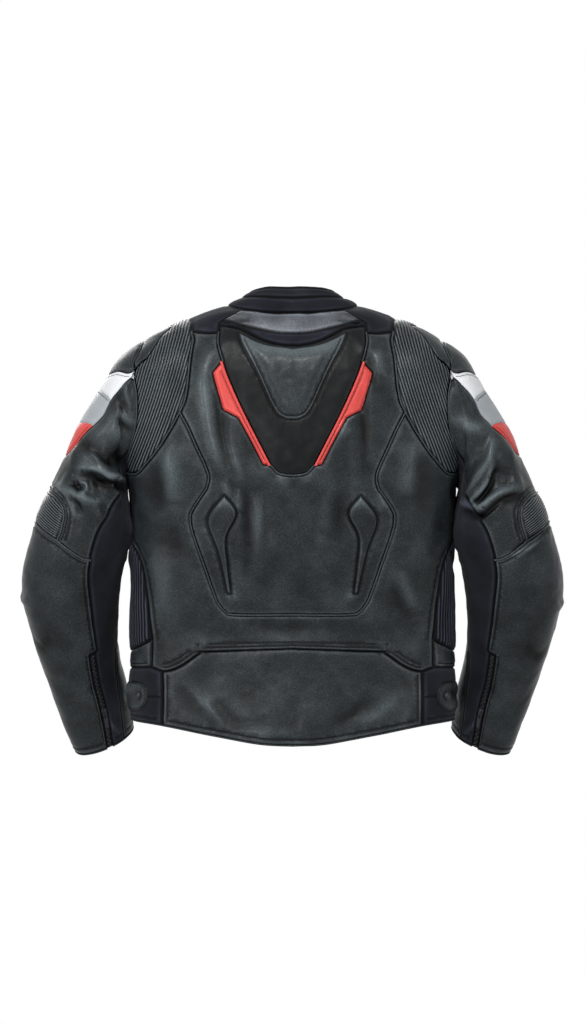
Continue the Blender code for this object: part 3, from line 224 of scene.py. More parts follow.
# Hem height by clock angle.
HEM = ((0, -616), (20, -614), (48, -601), (71, -586), (90, -580), (110, -573), (140, -562), (180, -554))
ZIP_HALF = 7.0
ZIP_TOP_RISE = 0.93
# Waist tab: its round end on the back as width and height, its root's clock angle, its thickness.
TAB_END = ((225, -526), (213, -528), (205, -537), (203, -547), (205, -557), (213, -566), (225, -568))
TAB_ROOT_CLOCK, TAB_WALL = 113.0, 3.0
SNAP_PLACE = (216, -547)
# Turns round the armhole where seams meet it.
CUP_TURN, WHITE_TURN, INNER_TURN, INNER_FRONT_TURN = 60.0, 67.0, 130.0, 232.0
RIB_TIP_TURN, SIDE_BACK_TURN, SIDE_FRONT_TURN, SHOULDER_FRONT_TURN = 156.0, 186.0, 206.0, 346.0
# Clock angles of the neckline where the neck panel meets the yoke, and the yoke the front.
NECK_CORNER, NECK_FRONT = 58.0, 128.0


# Torso seams on the back, left half: width, height.
HUMP_TOP = ((103, -23), (75, -27.5), (40, -44.5), (14, -51), (0, -51.5))
NECK_LOW = ((101.5, -16.5), (56, -26.5), (24, -33), (0, -34.5))
YOKE_INNER = ((101.5, -16.5), (103, -23), (104, -33))
YOKE_EDGE = ((142, -32), (144, -22), (145.5, -14.5))
HUMP_EDGE = ((104, -33), (98, -75), (71, -142), (31, -221))
HUMP_FOOT = ((31, -221), (19, -233), (0, -236))
FLASH_BLOCK = ((98, -75), (111, -91), (97, -143), (76, -154))
FLASH_STRIP = ((76, -154), (58, -187), (41, -220))
ACCORDION_INNER = ((142, -32), (141, -50), (146, -88), (151, -126), (159, -147))
ACCORDION_LOW = ((159, -147), (175, -175), (191, -200), (207, -219), (221, -233))
PROTECTOR = ((159, -147), (147, -169), (136, -194), (123, -222), (118, -239), (121, -254))
PROTECTOR_STEP = ((121, -254), (141, -284), (144, -297), (140, -318), (118, -382), (106, -414))
PROTECTOR_FOOT = ((106, -414), (95, -427), (78, -432), (0, -432))
LOWER_TOP = ((184, -512), (171, -510), (154, -502), (131, -486), (118, -483.5), (0, -480))
BLADE = ((96, -263), (120, -297), (105, -345), (92, -402), (85, -403), (90, -360), (92, -323), (78, -289))
HUMP_PAD = ((0, -56), (40, -49.5), (77, -32), (52, -88), (26, -143), (12, -156), (0, -158))
# Torso seams by clock angle and height, left side.
YOKE_OUTER = ((90, -11.5), (103, -22))
YOKE_FRONT = ((116, -24), (103, -22))
SIDE_BACK = ((90, -282), (88.5, -312), (77, -352), (74, -401), (73, -445), (72.5, -467))
SIDE_BACK_LOW = ((72.5, -467), (72.5, -506))
RIB_FOOT = ((72.5, -467), (79, -477), (90, -484), (106, -489))
LEATHER_FOOT = ((72.5, -506), (90, -508), (106, -512))
SIDE_FRONT = ((105.5, -285), (106, -400), (106, -489))
SIDE_FRONT_LOW = ((106, -489), (106, -512))
# Sleeve seams: turn round the sleeve, ring along it.
CUP_SEAM = ((CUP_TURN, 0), (54, 0.8), (47, 1.1), (38, 1.04), (26, 1.0), (10.5, 1.05), (0, 1.05))
CUP_LOW = ((CUP_TURN, 0), (56, 1.1), (47, 1.75), (25, 2.35), (0, 2.6))
WHITE_LOW = ((WHITE_TURN, 0), (60, 1.15), (59, 1.85), (54, 2.53))
WHITE_GREY = ((54, 2.53), (27, 2.85), (0, 2.95))
GREY_LOW = ((54, 2.53), (55.5, 2.95), (48, 3.48))
GREY_RED = ((48, 3.48), (17.5, 3.78), (0, 3.85))
RED_LOW = ((48, 3.48), (35.5, 4.0), (21, 4.42), (0, 4.55))
ELBOW_TOP = ((62, 6.8), (64, 6.3), (59, 5.75), (42, 5.52), (20, 5.5), (0, 5.5))
ELBOW_FOOT = ((62, 6.8), (32, 6.6), (0, 6.45))
ELBOW_REAR = ((107.5, 7.3), (96, 7.25), (62, 6.8))
ELBOW_AHEAD = ((-62, 6.8), (-78, 6.9))
INNER_UPPER = ((INNER_TURN, 0), (127, 2), (123, 4.15), (110, 5.75), (106.5, 7.0), (107.5, 7.3))
INNER_LOWER = ((107.5, 7.3), (109, 7.9), (116, 9.3), (121, 11.1))
FRONT_SEAM_UPPER = ((-48, 3.48), (-60, 4.6), (-74, 5.8), (-78, 6.9))
FRONT_SEAM_LOWER = ((-78, 6.9), (-72, 9.5), (-67, 12), (-66, CUFF))
ZIP_OUTER = ((108, 11.15), (106.5, 11.7), (103, 12.9), (98, CUFF))
ZIP_INNER = ((117, 11.12), (116, 11.7), (113, 12.9), (109, CUFF))
GUSSET = ((160, 11.5), (150, 12.3), (141, 13.1), (135, CUFF))
INNER_FRONT = ((INNER_FRONT_TURN, 0), (234, 4), (238, 8), (236, 11.5))
GUSSET_TOP = ((160, 11.5), (200, 11.4), (236, 11.5))
INSERT_TOP = ((121, 11.1), (117, 11.12), (108, 11.15))


def along(table, at):
    """A smooth curve through rows of (place, value, ...), read at one place or at many."""
    rows = np.array(table, float)
    if rows[0, 0] > rows[-1, 0]:
        rows = rows[::-1]
    places, values = rows[:, 0], rows[:, 1:]
    at = np.clip(np.asarray(at, float), places[0], places[-1])
    slopes = np.gradient(values, places, axis=0)
    i = np.clip(np.searchsorted(places, at) - 1, 0, len(places) - 2)
    span = (places[i + 1] - places[i])[..., None]
    t = (at - places[i])[..., None] / span
    rise = (2 * t**3 - 3 * t**2 + 1) * values[i] + (3 * t**2 - 2 * t**3) * values[i + 1]
    return rise + span * ((t**3 - 2 * t**2 + t) * slopes[i] + (t**3 - t**2) * slopes[i + 1])


def blend(p0, p1, p2, p3, t):
    """The Catmull-Rom blend between p1 and p2."""
    return 0.5 * (
        2 * p1 + (p2 - p0) * t + (2 * p0 - 5 * p1 + 4 * p2 - p3) * t**2 + (3 * p1 - p0 - 3 * p2 + p3) * t**3
    )


def torso_point(clock, height):
    """A point of the torso skin: clock 0 is the centre back, 90 the left side and 180 the centre front."""
    turn = np.radians(np.asarray(clock, float))
    size = along(TORSO, height)
    wide, rear, front, square = (size[..., k] for k in range(4))
    deep = np.where(np.cos(turn) >= 0, rear, front)
    reach = (np.abs(np.cos(turn) / deep) ** square + np.abs(np.sin(turn) / wide) ** square) ** (-1 / square)
    return np.stack([reach * np.sin(turn), reach * np.cos(turn), height + 0 * reach], -1)


def on_back(x, z):
    """Clock angle and height of the back's point at width x and height z."""
    wide, rear, _, square = along(TORSO, z)
    y = rear * max(0.0, 1 - min(1.0, abs(x) / wide) ** square) ** (1 / square)
    return math.degrees(math.atan2(x, y)), z


def on_front(x, z):
    """Clock angle and height of the front's point at width x and height z."""
    wide, _, front, square = along(TORSO, z)
    y = front * max(0.0, 1 - min(1.0, abs(x) / wide) ** square) ** (1 / square)
    return math.degrees(math.atan2(x, -y)), z


def armhole_clock(turn):
    """Clock angle and height of the armhole at a turn round the sleeve, 0 on top and 90 at the rear."""
    rows = np.array(ARMHOLE, float)
    count = len(rows)
    place = np.mod(np.asarray(turn, float), 360.0) * count / 360.0
    i = np.floor(place).astype(int)
    t = (place - i)[..., None]
    return blend(rows[(i - 1) % count], rows[i % count], rows[(i + 1) % count], rows[(i + 2) % count], t)


def sleeve_ring(index, turn):
    """A point of one sleeve oval. Ring 0 is the armhole."""
    if index == 0:
        clock = armhole_clock(turn)
        return torso_point(clock[..., 0], clock[..., 1])
    outer_x, outer_z, inner_x, inner_z, middle_y, deep, tilt, bow = SLEEVE[index - 1]
    across, rear = np.cos(np.radians(turn)), np.sin(np.radians(turn))
    x = (outer_x + inner_x) / 2 + (outer_x - inner_x) / 2 * across + bow * rear**2
    y = middle_y + deep * math.cos(math.radians(tilt)) * rear
    z = (outer_z + inner_z) / 2 + (outer_z - inner_z) / 2 * across - deep * math.sin(math.radians(tilt)) * rear
    return np.stack([x, y, z], -1)


def sleeve_point(turn, ring):
    """A point of the left sleeve's skin: turn 0 is its outer edge, 90 its rear and 180 its inner edge."""
    turn, ring = np.broadcast_arrays(np.asarray(turn, float), np.asarray(ring, float))
    last = len(SLEEVE)
    rings = np.stack([sleeve_ring(index, turn) for index in range(last + 1)])
    i = np.clip(np.floor(ring).astype(int), 0, last - 1)
    t = (ring - i)[..., None]

    def pick(index):
        return np.take_along_axis(rings, np.clip(index, 0, last)[None, ..., None], 0)[0]

    p1, p2 = pick(i), pick(i + 1)
    p0 = np.where((i == 0)[..., None], 2 * p1 - p2, pick(i - 1))
    p3 = np.where((i == last - 1)[..., None], 2 * p2 - p1, pick(i + 2))
    return blend(p0, p1, p2, p3, t)


def either_side(clock):
    """The clock angle of the same place on the left half, from 0 at the centre back to 180 in front."""
    return 180 - np.abs(180 - np.abs(clock))


def collar_point(clock, rise):
    """A point of the collar's skin, from the neckline at rise 0 to the top edge at rise 1."""
    clock = np.asarray(clock, float)
    rise = np.asarray(rise, float)[..., None]
    turn = np.radians(clock)
    foot = torso_point(clock, along(NECKLINE, either_side(clock))[..., 0])
    top = np.stack(
        [
            COLLAR_HALF_WIDTH * np.sin(turn),
            COLLAR_MIDDLE_Y + COLLAR_HALF_DEPTH * np.cos(turn),
            along(COLLAR_TOP, either_side(clock))[..., 0],
        ],
        -1,
    )
    out = np.stack([np.sin(turn), np.cos(turn), 0 * turn], -1)
    return foot + (top - foot) * rise + out * COLLAR_BULGE * 4 * rise * (1 - rise)


# A skin's point function, the millimetres that one unit of each of its coordinates spans, and its folds.
Skin = namedtuple("Skin", "point scale folds")

# A point of a panel's edge: its place on the skin, its point in space and the way out of the cloth.
Rim = namedtuple("Rim", "place point out")


def way_out(skin, place):
    """The skin's outward unit normal at one place or at many."""
    u, v = np.moveaxis(np.asarray(place, float), -1, 0)
    step = 0.2 / np.array(skin.scale)
    du = skin.point(u + step[0], v) - skin.point(u - step[0], v)
    dv = skin.point(u, v + step[1]) - skin.point(u, v - step[1])
    out = np.cross(dv, du)
    return out / np.linalg.norm(out, axis=-1, keepdims=True)


def with_folds(plain, folds):
    """A skin on which each fold of the cloth rises, or sinks, along its crest."""

    def point(u, v):
        place = np.stack(np.broadcast_arrays(np.asarray(u, float), np.asarray(v, float)), -1)
        spot = place * plain.scale
        rise = np.zeros(spot.shape[:-1])
        for height, reach, crest in folds:
            run = np.array(crest) * plain.scale
            for a, b in zip(run[:-1], run[1:]):
                share = np.clip(((spot - a) @ (b - a)) / ((b - a) @ (b - a)), 0, 1)
                away = np.linalg.norm(spot - a - share[..., None] * (b - a), axis=-1)
                mound = height * np.exp(-((away / reach) ** 2))
                rise = np.where(np.abs(mound) > np.abs(rise), mound, rise)
        return plain.point(place[..., 0], place[..., 1]) + way_out(plain, place) * rise[..., None]

    return Skin(point, plain.scale, folds)


TORSO_PLAIN = Skin(torso_point, (3.1, 1.0), ())
SLEEVE_PLAIN = Skin(sleeve_point, (1.15, 44.0), ())
TORSO_SKIN = with_folds(TORSO_PLAIN, TORSO_FOLDS)
SLEEVE_SKIN = with_folds(SLEEVE_PLAIN, SLEEVE_FOLDS)
COLLAR_SKIN = Skin(collar_point, (1.2, 36.0), ())


def rims(skin, places):
    places = np.asarray(places, float)
    points = skin.point(places[:, 0], places[:, 1])
    return [Rim(tuple(p), q, n) for p, q, n in zip(places, points, way_out(skin, places))]


def on_sleeve(x, z):
    """Turn and ring of the left sleeve's rear at width x and height z."""
    turns, sections = np.meshgrid(np.linspace(0, 180, 181), np.linspace(0, CUFF, 281))
    points = sleeve_point(turns, sections)
    pick = np.hypot(points[..., 0] - x, points[..., 2] - z).argmin()
    return turns.ravel()[pick], sections.ravel()[pick]


# Creases of the back: height out of the cloth, reach to each side, width and height of each place.
BACK_CREASES = (
    (2.8, 9, 8, ((122, -54), (122, -114), (114, -171), (100, -236))),
    (-2.0, 8, 8, ((114, -91), (106, -147), (92, -196), (80, -244))),
    (2.0, 7, 7, ((96, -163), (85, -204), (70, -244))),
    (1.5, 5, 7, ((98, -244), (92, -256), (83, -265))),
    (-1.0, 5, 5, ((88, -239), (84, -252), (79, -265))),
    (-1.8, 8, 8, ((66, -252), (64, -303), (62, -340))),
    (1.5, 7, 7, ((75, -255), (76, -270), (74, -288))),
    (1.8, 9, 7, ((47, -258), (49, -300), (49, -348))),
    (-0.8, 8, 8, ((60, -330), (63, -355), (66, -386))),
    (1.4, 12, 12, ((2, -243), (12, -244), (22, -247))),
    (2.4, 11, 11, ((170, -190), (172, -230), (168, -275))),
    (-1.1, 11, 11, ((189, -214), (189, -250), (184, -290))),
    (2.2, 11, 11, ((-160, -186), (-163, -225), (-160, -265))),
    (-1.2, 11, 11, ((-182, -205), (-184, -245), (-180, -290))),
    (-1.1, 14, 12, ((178, -290), (173, -320), (163, -360))),
    (1.5, 12, 12, ((190, -330), (186, -380), (176, -430))),
    (1.4, 8, 8, ((-150, -372), (-163, -405), (-176, -430))),
    (-1.0, 8, 8, ((-140, -380), (-152, -412), (-166, -440))),
    (-0.9, 11, 12, ((88, -447), (40, -451), (-30, -451), (-86, -446))),
    (0.9, 12, 12, ((70, -462), (10, -464), (-60, -461))),
    (-2.1, 8, 8, ((-104, -62), (-110, -98), (-120, -122))),
    (2.4, 7, 7, ((-117, -58), (-119, -78), (-122, -98))),
    (-1.8, 8, 8, ((-98, -95), (-100, -150), (-102, -200), (-106, -238))),
    (1.7, 11, 11, ((-64, -162), (-71, -170), (-80, -180))),
    (-1.0, 12, 12, ((-64, -256), (-65, -290), (-64, -330))),
    (1.5, 8, 8, ((-119, -260), (-124, -272), (-128, -286))),
    (1.4, 9, 9, ((72, -406), (83, -405), (94, -404))),
    (1.2, 9, 9, ((-72, -406), (-83, -405), (-94, -404))),
    (-1.1, 8, 8, ((164, -528), (143, -554), (106, -591))),
    (1.5, 8, 8, ((149, -524), (125, -556), (96, -589))),
    (-1.0, 8, 8, ((113, -552), (83, -581), (34, -586))),
    (1.1, 8, 8, ((80, -594), (30, -598), (-15, -599))),
    (1.5, 8, 8, ((-155, -533), (-123, -570), (-74, -588))),
    (-1.1, 8, 8, ((-113, -542), (-83, -574), (-47, -586))),
)
# Creases of the sides and front by clock angle and height.
FRONT_CREASES = (
    (3.0, 8, 7, ((119, -205), (127, -255), (134, -318))),
    (-2.8, 7, 7, ((123, -235), (133, -288), (143, -336))),
    (2.6, 7, 8, ((131, -232), (143, -272), (154, -300))),
    (2.2, 8, 8, ((152, -390), (138, -428), (122, -452))),
    (-2.6, 8, 7, ((154, -416), (137, -446), (119, -468))),
    (2.6, 7, 7, ((160, -478), (142, -497), (120, -508))),
    (-2.2, 7, 7, ((163, -503), (142, -522), (123, -531))),
    (2.0, 9, 8, ((122, -62), (124, -104), (121, -146))),
    (2.8, 7, 8, ((-120, -198), (-129, -246), (-139, -305))),
    (-2.8, 7, 7, ((-121, -226), (-131, -284), (-141, -322))),
    (2.2, 8, 8, ((-148, -376), (-136, -410), (-119, -446))),
    (-2.6, 7, 8, ((-157, -402), (-140, -438), (-122, -462))),
    (2.6, 7, 7, ((-158, -470), (-141, -488), (-121, -504))),
    (-2.0, 7, 7, ((-161, -496), (-139, -515), (-121, -527))),
    (2.0, 9, 8, ((-124, -54), (-126, -92), (-123, -132))),
    (2.0, 8, 8, ((80, -330), (88, -352), (96, -360))),
    (-2.0, 8, 8, ((-79, -336), (-88, -362), (-97, -366))),
    (1.8, 7, 7, ((76, -530), (88, -541), (100, -546))),
    (-1.8, 7, 7, ((-75, -536), (-88, -548), (-101, -552))),
)
# Creases of each sleeve's rear, as the back's, and of its hidden sides by turn and ring.
LEFT_REAR_CREASES = (
    (1.8, 11, 11, ((292, -170), (266, -173), (241, -194))),
    (-2.9, 7, 7, ((322, -184), (302, -191), (275, -203), (256, -214), (232, -214))),
    (1.1, 8, 8, ((300, -211), (279, -213), (262, -223), (245, -238))),
    (5.0, 3, 4, ((309, -241), (300, -228), (289, -225), (270, -228), (254, -239), (240, -248))),
    (-4.4, 5, 5, ((301, -238), (284, -238), (262, -249), (240, -257))),
    (3.4, 3, 3, ((305, -237), (302, -244), (293, -245), (290, -252), (296, -264))),
    (-2.8, 4, 4, ((314, -245), (303, -253), (299, -264))),
    (2.4, 6, 6, ((347, -254), (318, -256), (297, -266), (283, -272), (258, -268))),
    (-2.8, 5, 5, ((313, -266), (302, -278), (300, -292))),
    (1.8, 8, 8, ((320, -262), (311, -280), (306, -298))),
    (1.8, 5, 5, ((242, -106), (234, -122), (226, -140))),
    (2.2, 5, 5, ((250, -148), (234, -157), (221, -162))),
    (-2.4, 5, 5, ((250, -163), (234, -168), (221, -174))),
    (-2.0, 6, 6, ((252, -120), (243, -134), (232, -144))),
    (2.0, 4, 4, ((270, -576), (259, -590), (245, -607))),
)
RIGHT_REAR_CREASES = (
    (4.0, 5, 6, ((240, -266), (251, -278), (263, -282), (282, -267), (296, -258), (323, -252))),
    (-4.6, 5, 6, ((246, -282), (262, -293), (278, -285), (292, -273), (308, -266), (328, -264))),
    (3.4, 5, 5, ((281, -212), (275, -238), (262, -259), (249, -274))),
    (-3.2, 5, 5, ((290, -216), (281, -246), (265, -266), (252, -277))),
    (2.8, 6, 6, ((222, -162), (250, -166), (282, -168))),
    (2.4, 6, 6, ((279, -170), (276, -215), (250, -262))),
    (2.8, 4, 4, ((309, -350), (334, -336), (352, -317))),
    (-2.8, 4, 4, ((308, -345), (336, -324), (364, -306))),
    (2.0, 4, 4, ((268, -578), (257, -592), (244, -606))),
)
SLEEVE_HIDDEN_CREASES = (
    (3.6, 30, 30, ((176, 0.2), (180, 1.4), (181, 3.0), (182, 5.5))),
    (2.4, 26, 26, ((184, 4.0), (184, 5.8), (184, 7.4))),
    (1.2, 8, 8, ((190, 3.0), (215, 3.2), (244, 2.8))),
    (-1.4, 8, 8, ((206, 3.6), (226, 3.8), (250, 3.4))),
    (-1.3, 9, 9, ((158, 6.6), (200, 6.8), (240, 6.5))),
    (1.4, 8, 8, ((166, 7.3), (198, 7.5), (230, 7.2))),
    (2.4, 8, 8, ((250, 4.3), (280, 4.0), (306, 4.4))),
    (-2.4, 8, 8, ((246, 4.8), (276, 4.7), (302, 5.0))),
    (2.2, 8, 8, ((252, 8.2), (276, 8.0), (296, 8.5))),
    (-2.0, 8, 8, ((244, 8.9), (270, 8.8), (290, 9.2))),
    (2.0, 7, 7, ((30, 9.0), (8, 9.3), (-20, 9.1))),
    (-2.0, 7, 7, ((62, 10.3), (40, 10.7), (14, 10.6))),
    (2.2, 7, 7, ((255, 11.6), (275, 11.9), (290, 12.4))),
)


def sleeve_creases(rear, shift):
    """A sleeve's creases by turn and ring. The hidden ones are shifted a little from sleeve to sleeve."""
    rows = [(h, a, b, [on_sleeve(*p) for p in crest]) for h, a, b, crest in rear]
    for rise, left, right, crest in SLEEVE_HIDDEN_CREASES:
        moved = [(turn + shift * 40, ring + shift) for turn, ring in crest]
        rows.append((rise, left, right, moved))
        rows.append((rise, left, right, [(turn - 360, ring) for turn, ring in moved]))
    return rows


# Fine creases that run into the neck panel from its two ends.
NECK_CREASES = (
    (1.4, 2, 2, ((97, -16), (82, -14), (64, -12))),
    (-1.5, 2, 2, ((97, -19), (80, -18), (60, -17))),
    (1.2, 2, 2, ((96, -22), (80, -22), (64, -21))),
    (1.4, 2, 2, ((-97, -16), (-84, -15), (-68, -13))),
    (-1.5, 2, 2, ((-97, -19), (-80, -19), (-62, -18))),
    (1.2, 2, 2, ((-96, -22), (-82, -22), (-66, -21))),
)
BACK_CREASES += NECK_CREASES
TORSO_CREASES = [(h, a, b, [on_back(*p) for p in crest]) for h, a, b, crest in BACK_CREASES] + [*FRONT_CREASES]


def run_out(controls):
    """A seam's or a crease's few places, with one more beyond each end."""
    controls = np.array(controls, float)
    return np.vstack([2 * controls[0] - controls[1], controls, 2 * controls[-1] - controls[-2]])


def seam(skin, controls):
    """Rims along the smooth curve through a seam's few control places, both ends included."""
    scale = np.array(skin.scale)
    whole = run_out(controls)
    places = []
    for i in range(1, len(whole) - 2):
        count = max(1, round(np.linalg.norm((whole[i + 1] - whole[i]) * scale) / EDGE_STEP))
        places += [blend(*whole[i - 1 : i + 3], k / count) for k in range(count)]
    return rims(skin, places + [whole[-2]])


def armhole_rims(first, last, on_sleeve):
    """The armhole seam's rims from one turn to another, placed on the sleeve's skin or on the torso's."""
    turns = np.linspace(first, last, max(1, round(abs(last - first) / 2)) + 1)
    clocks = armhole_clock(turns)
    points = torso_point(clocks[:, 0], clocks[:, 1])
    out = way_out(TORSO_PLAIN, clocks) + way_out(SLEEVE_PLAIN, np.stack([turns, 0 * turns + 0.02], -1))
    out /= np.linalg.norm(out, axis=-1, keepdims=True)
    places = [(t, 0.0) for t in turns] if on_sleeve else [tuple(c) for c in clocks]
    return [Rim(*row) for row in zip(places, points, out)]


def neck_rims(first, last, on_collar):
    """The neckline's rims from one clock angle to another."""
    clocks = np.linspace(first, last, max(1, round(abs(last - first) / 2)) + 1)
    places = np.stack([clocks, along(NECKLINE, either_side(clocks))[:, 0]], -1)
    points = torso_point(places[:, 0], places[:, 1])
    out = way_out(TORSO_PLAIN, places) + way_out(COLLAR_SKIN, np.stack([clocks, 0 * clocks + 0.02], -1))
    out /= np.linalg.norm(out, axis=-1, keepdims=True)
    if on_collar:
        places = np.stack([clocks, 0 * clocks], -1)
    return [Rim(tuple(p), q, n) for p, q, n in zip(places, points, out)]


def hem_place(clock):
    return clock, float(along(HEM, abs(clock))[0])


def hem_rims(first, last):
    count = max(1, round(abs(last - first)))
    return rims(TORSO_SKIN, [hem_place(clock) for clock in np.linspace(first, last, count + 1)])


def flipped(chain):
    """The same seam on the jacket's other half, run the other way."""
    other = np.array([-1.0, 1.0, 1.0])
    return [Rim((-r.place[0], r.place[1]), r.point * other, r.out * other) for r in reversed(chain)]


def back(chain):
    return list(reversed(chain))


def loop_of(*chains):
    """One closed loop from seams that follow each other, with each shared end point kept once."""
    rim_loop = []
    for chain in chains:
        for rim in chain:
            if not rim_loop or np.linalg.norm(rim.point - rim_loop[-1].point) > HAIR:
                rim_loop.append(rim)
    if np.linalg.norm(rim_loop[0].point - rim_loop[-1].point) < HAIR:
        rim_loop.pop()
    return rim_loop


def whole_loop(*half):
    """A loop across the centre line from the seams of its left half, which start and end on that line."""
    chain = loop_of(*half)
    return loop_of(chain, flipped(chain))


# Leathers and thread: finish, colour, roughness, grain in millimetres and its height, contrast, specular level,
# and the colour's factors for the painted shade in the hollows and the painted highlight on the crests.
LEATHERS = (
    ("leather", "leather", 0.34, 1.5, 0.05, 0.20, 0.12, 0.0, 10.0),
    ("hump_leather", "hump", 0.38, 1.0, 0.04, 0.12, 0.10, 0.2, 4.6),
    ("neck_grey", "neck", 0.46, 1.2, 0.08, 0.16, 0.12, 0.0, 5.0),
    ("grey_leather", "grey", 0.42, 1.5, 0.06, 0.10, 0.15, 0.75, 1.5),
    ("white_leather", "white", 0.42, 1.5, 0.06, 0.08, 0.15, 0.84, 1.4),
    ("red_leather", "red", 0.40, 1.5, 0.06, 0.15, 0.15, 0.6, 1.8),
    ("piping", "leather", 0.34, 1.0, 0.03, 0.2, 0.2, 0.5, 12.0),
    ("flesh_side", "flesh", 0.85, 0.9, 0.10, 0.2, 0.15, 0.7, 1.8),
    ("thread", "thread", 0.50, 0.5, 0.03, 0.2, 0.2, 0.7, 1.6),
)
# Knits: finish, colour, roughness, pitch and height in millimetres, and sheen.
KNITS = (
    ("stretch", "stretch", 0.80, 0.9, 0.10, 0.04),
    ("soft_band", "band", 0.90, 1.3, 0.08, 0.06),
    ("zip_tape", "tape", 0.80, 0.7, 0.10, 0.03),
)
# The curve from the tone of painted shade and highlight to colour, and how much that tone lowers the roughness.
TONE_CURVE, TONE_POLISH = 2.6, -0.24
PLAIN_WHITE = (1.0, 1.0, 1.0, 1.0)


def shader_of(name):
    """A new material and its Principled shader."""
    material = bpy.data.materials.new("jacket_" + name)
    material.use_nodes = True
    return material, material.node_tree.nodes["Principled BSDF"]


def set_inputs(owner, node, inputs):
    """Gives a node's sockets values, or links other nodes' outputs to them."""
    for socket, value in inputs:
        if isinstance(value, bpy.types.NodeSocket):
            owner.node_tree.links.new(value, node.inputs[socket])
        else:
            node.inputs[socket].default_value = value


def wired(owner, node_type, inputs=(), **settings):
    """A new node of a material or a world, with its settings and inputs."""
    node = owner.node_tree.nodes.new(node_type)
    for key, value in settings.items():
        setattr(node, key, value)
    set_inputs(owner, node, inputs)
    return node


def reckoned(owner, operation, *terms, **settings):
    """The result of a Math node on numbers and other nodes' outputs."""
    return wired(owner, "ShaderNodeMath", enumerate(terms), operation=operation, **settings).outputs[0]


def ranged(owner, value, first, last, low=0.0, high=1.0, **settings):
    """A value carried from one range to another."""
    inputs = [("Value", value), ("From Min", first), ("From Max", last), ("To Min", low), ("To Max", high)]
    return wired(owner, "ShaderNodeMapRange", inputs, **settings).outputs["Result"]


def noise(owner, place, scale, detail):
    """Uneven noise at places of a piece."""
    inputs = [("Vector", place), ("Scale", scale), ("Detail", detail)]
    return wired(owner, "ShaderNodeTexNoise", inputs).outputs["Fac"]


def bumped(owner, height, strength, distance):
    """A surface's normal, raised by a height over a distance in millimetres."""
    inputs = [("Height", height), ("Strength", strength), ("Distance", distance * MM)]
    return wired(owner, "ShaderNodeBump", inputs).outputs["Normal"]


def finish(name):
    return bpy.data.materials["jacket_" + name]


def shade(colour, factor):
    return (*(min(1.0, c * factor) for c in colour), 1.0)


def mixed(material, factor, low, high):
    """The colour between two, by a factor from another node."""
    node = wired(material, "ShaderNodeMix", [(0, factor), (6, low), (7, high)], data_type="RGBA")
    return node.outputs[2]


def toned(material, amount, spread, colour, dark, light):
    """A colour with painted shade in the hollows and painted highlights on the crests of the cloth, which drifts a
    little.
    """
    painted_tone = wired(material, "ShaderNodeAttribute", attribute_name="tone").outputs["Fac"]
    drift = ranged(material, amount, 0.25, 1.15, -spread, spread)
    both = reckoned(material, "ADD", painted_tone, drift, use_clamp=True)
    bent = reckoned(material, "POWER", both, TONE_CURVE)
    return painted_tone, mixed(material, bent, shade(colour, dark), shade(colour, light))


def leather(name, colour, rough, grain, grain_high, contrast, specular, dark, light):
    """Full-grain leather: fine pebbles, uneven tone, painted shade in the hollows and painted highlights on smoother
    crests.
    """
    material, shader = shader_of(name)
    place = wired(material, "ShaderNodeTexCoord").outputs["Object"]
    inputs = [("Vector", place), ("Scale", 1 / (grain * MM))]
    pebbles = wired(material, "ShaderNodeTexVoronoi", inputs, feature="SMOOTH_F1").outputs["Distance"]
    fine = noise(material, place, 0.5 / (grain * MM), 4.0)
    speck = reckoned(material, "MULTIPLY_ADD", pebbles, 0.6, noise(material, place, 800.0, 1.0))
    painted_tone, base = toned(material, speck, contrast, colour, dark, light)
    gloss = ranged(material, fine, 0.3, 0.7, rough + 0.06, rough + 0.20)
    high = reckoned(material, "ADD", pebbles, fine)
    set_inputs(material, shader, (
        ("Base Color", base),
        ("Roughness", reckoned(material, "MULTIPLY_ADD", painted_tone, TONE_POLISH, gloss)),
        ("Specular IOR Level", specular),
        ("Normal", bumped(material, high, 0.55, grain_high)),
    ))


def knit(name, colour, rough, pitch, high, sheen):
    """Stretch textile: a fine knit that follows the panel, matte with a soft sheen."""
    material, shader = shader_of(name)
    weave = wired(material, "ShaderNodeTexCoord").outputs["UV"]
    inputs = [("Vector", weave), ("Scale", math.pi / (10 * pitch * MM)), ("Distortion", 0.6)]
    waves = [
        wired(material, "ShaderNodeTexWave", inputs, wave_type="BANDS", bands_direction=way).outputs["Fac"]
        for way in ("X", "Y")
    ]
    cross = reckoned(material, "MULTIPLY", *waves)
    place = wired(material, "ShaderNodeTexCoord").outputs["Object"]
    both = reckoned(material, "MULTIPLY_ADD", noise(material, place, 45.0, 6.0), cross, 0.5)
    # The base colour carries the panel's painted shade and highlights.
    set_inputs(material, shader, (
        ("Base Color", toned(material, both, 0.2, colour, 0.2, 4.0)[1]),
        ("Roughness", rough),
        ("Specular IOR Level", 0.08),
        ("Sheen Weight", sheen),
        ("Sheen Roughness", 0.5),
        ("Normal", bumped(material, cross, 0.5, high)),
    ))


def lacquer(name, colour):
    """Black lacquered metal, faintly scuffed."""
    material, shader = shader_of(name)
    scuffs = noise(material, wired(material, "ShaderNodeTexCoord").outputs["Object"], 900.0, 5.0)
    set_inputs(material, shader, (
        ("Base Color", mixed(material, scuffs, shade(colour, 0.7), shade(colour, 1.4))),
        ("Roughness", ranged(material, scuffs, 0.3, 0.7, 0.28, 0.48)),
        ("Metallic", 0.85),
    ))


def build_finishes():
    """Every finish of the jacket."""
    colours = bpy.context.scene.jacket_colours
    for make, table in ((leather, LEATHERS), (knit, KNITS)):
        for name, colour, *numbers in table:
            make(name, getattr(colours, colour), *numbers)
    lacquer("zip_metal", colours.metal)


# A side of the jacket's cloth: its skin, its creases, and -1 where it is mirrored to the right.
Cloth = namedtuple("Cloth", "skin creases side")

# A seam's line beside a chain of rims: distance from it, depth, half width, and whether it is stitched.
Channel = namedtuple("Channel", "chain distance depth width stitched", defaults=(True,))

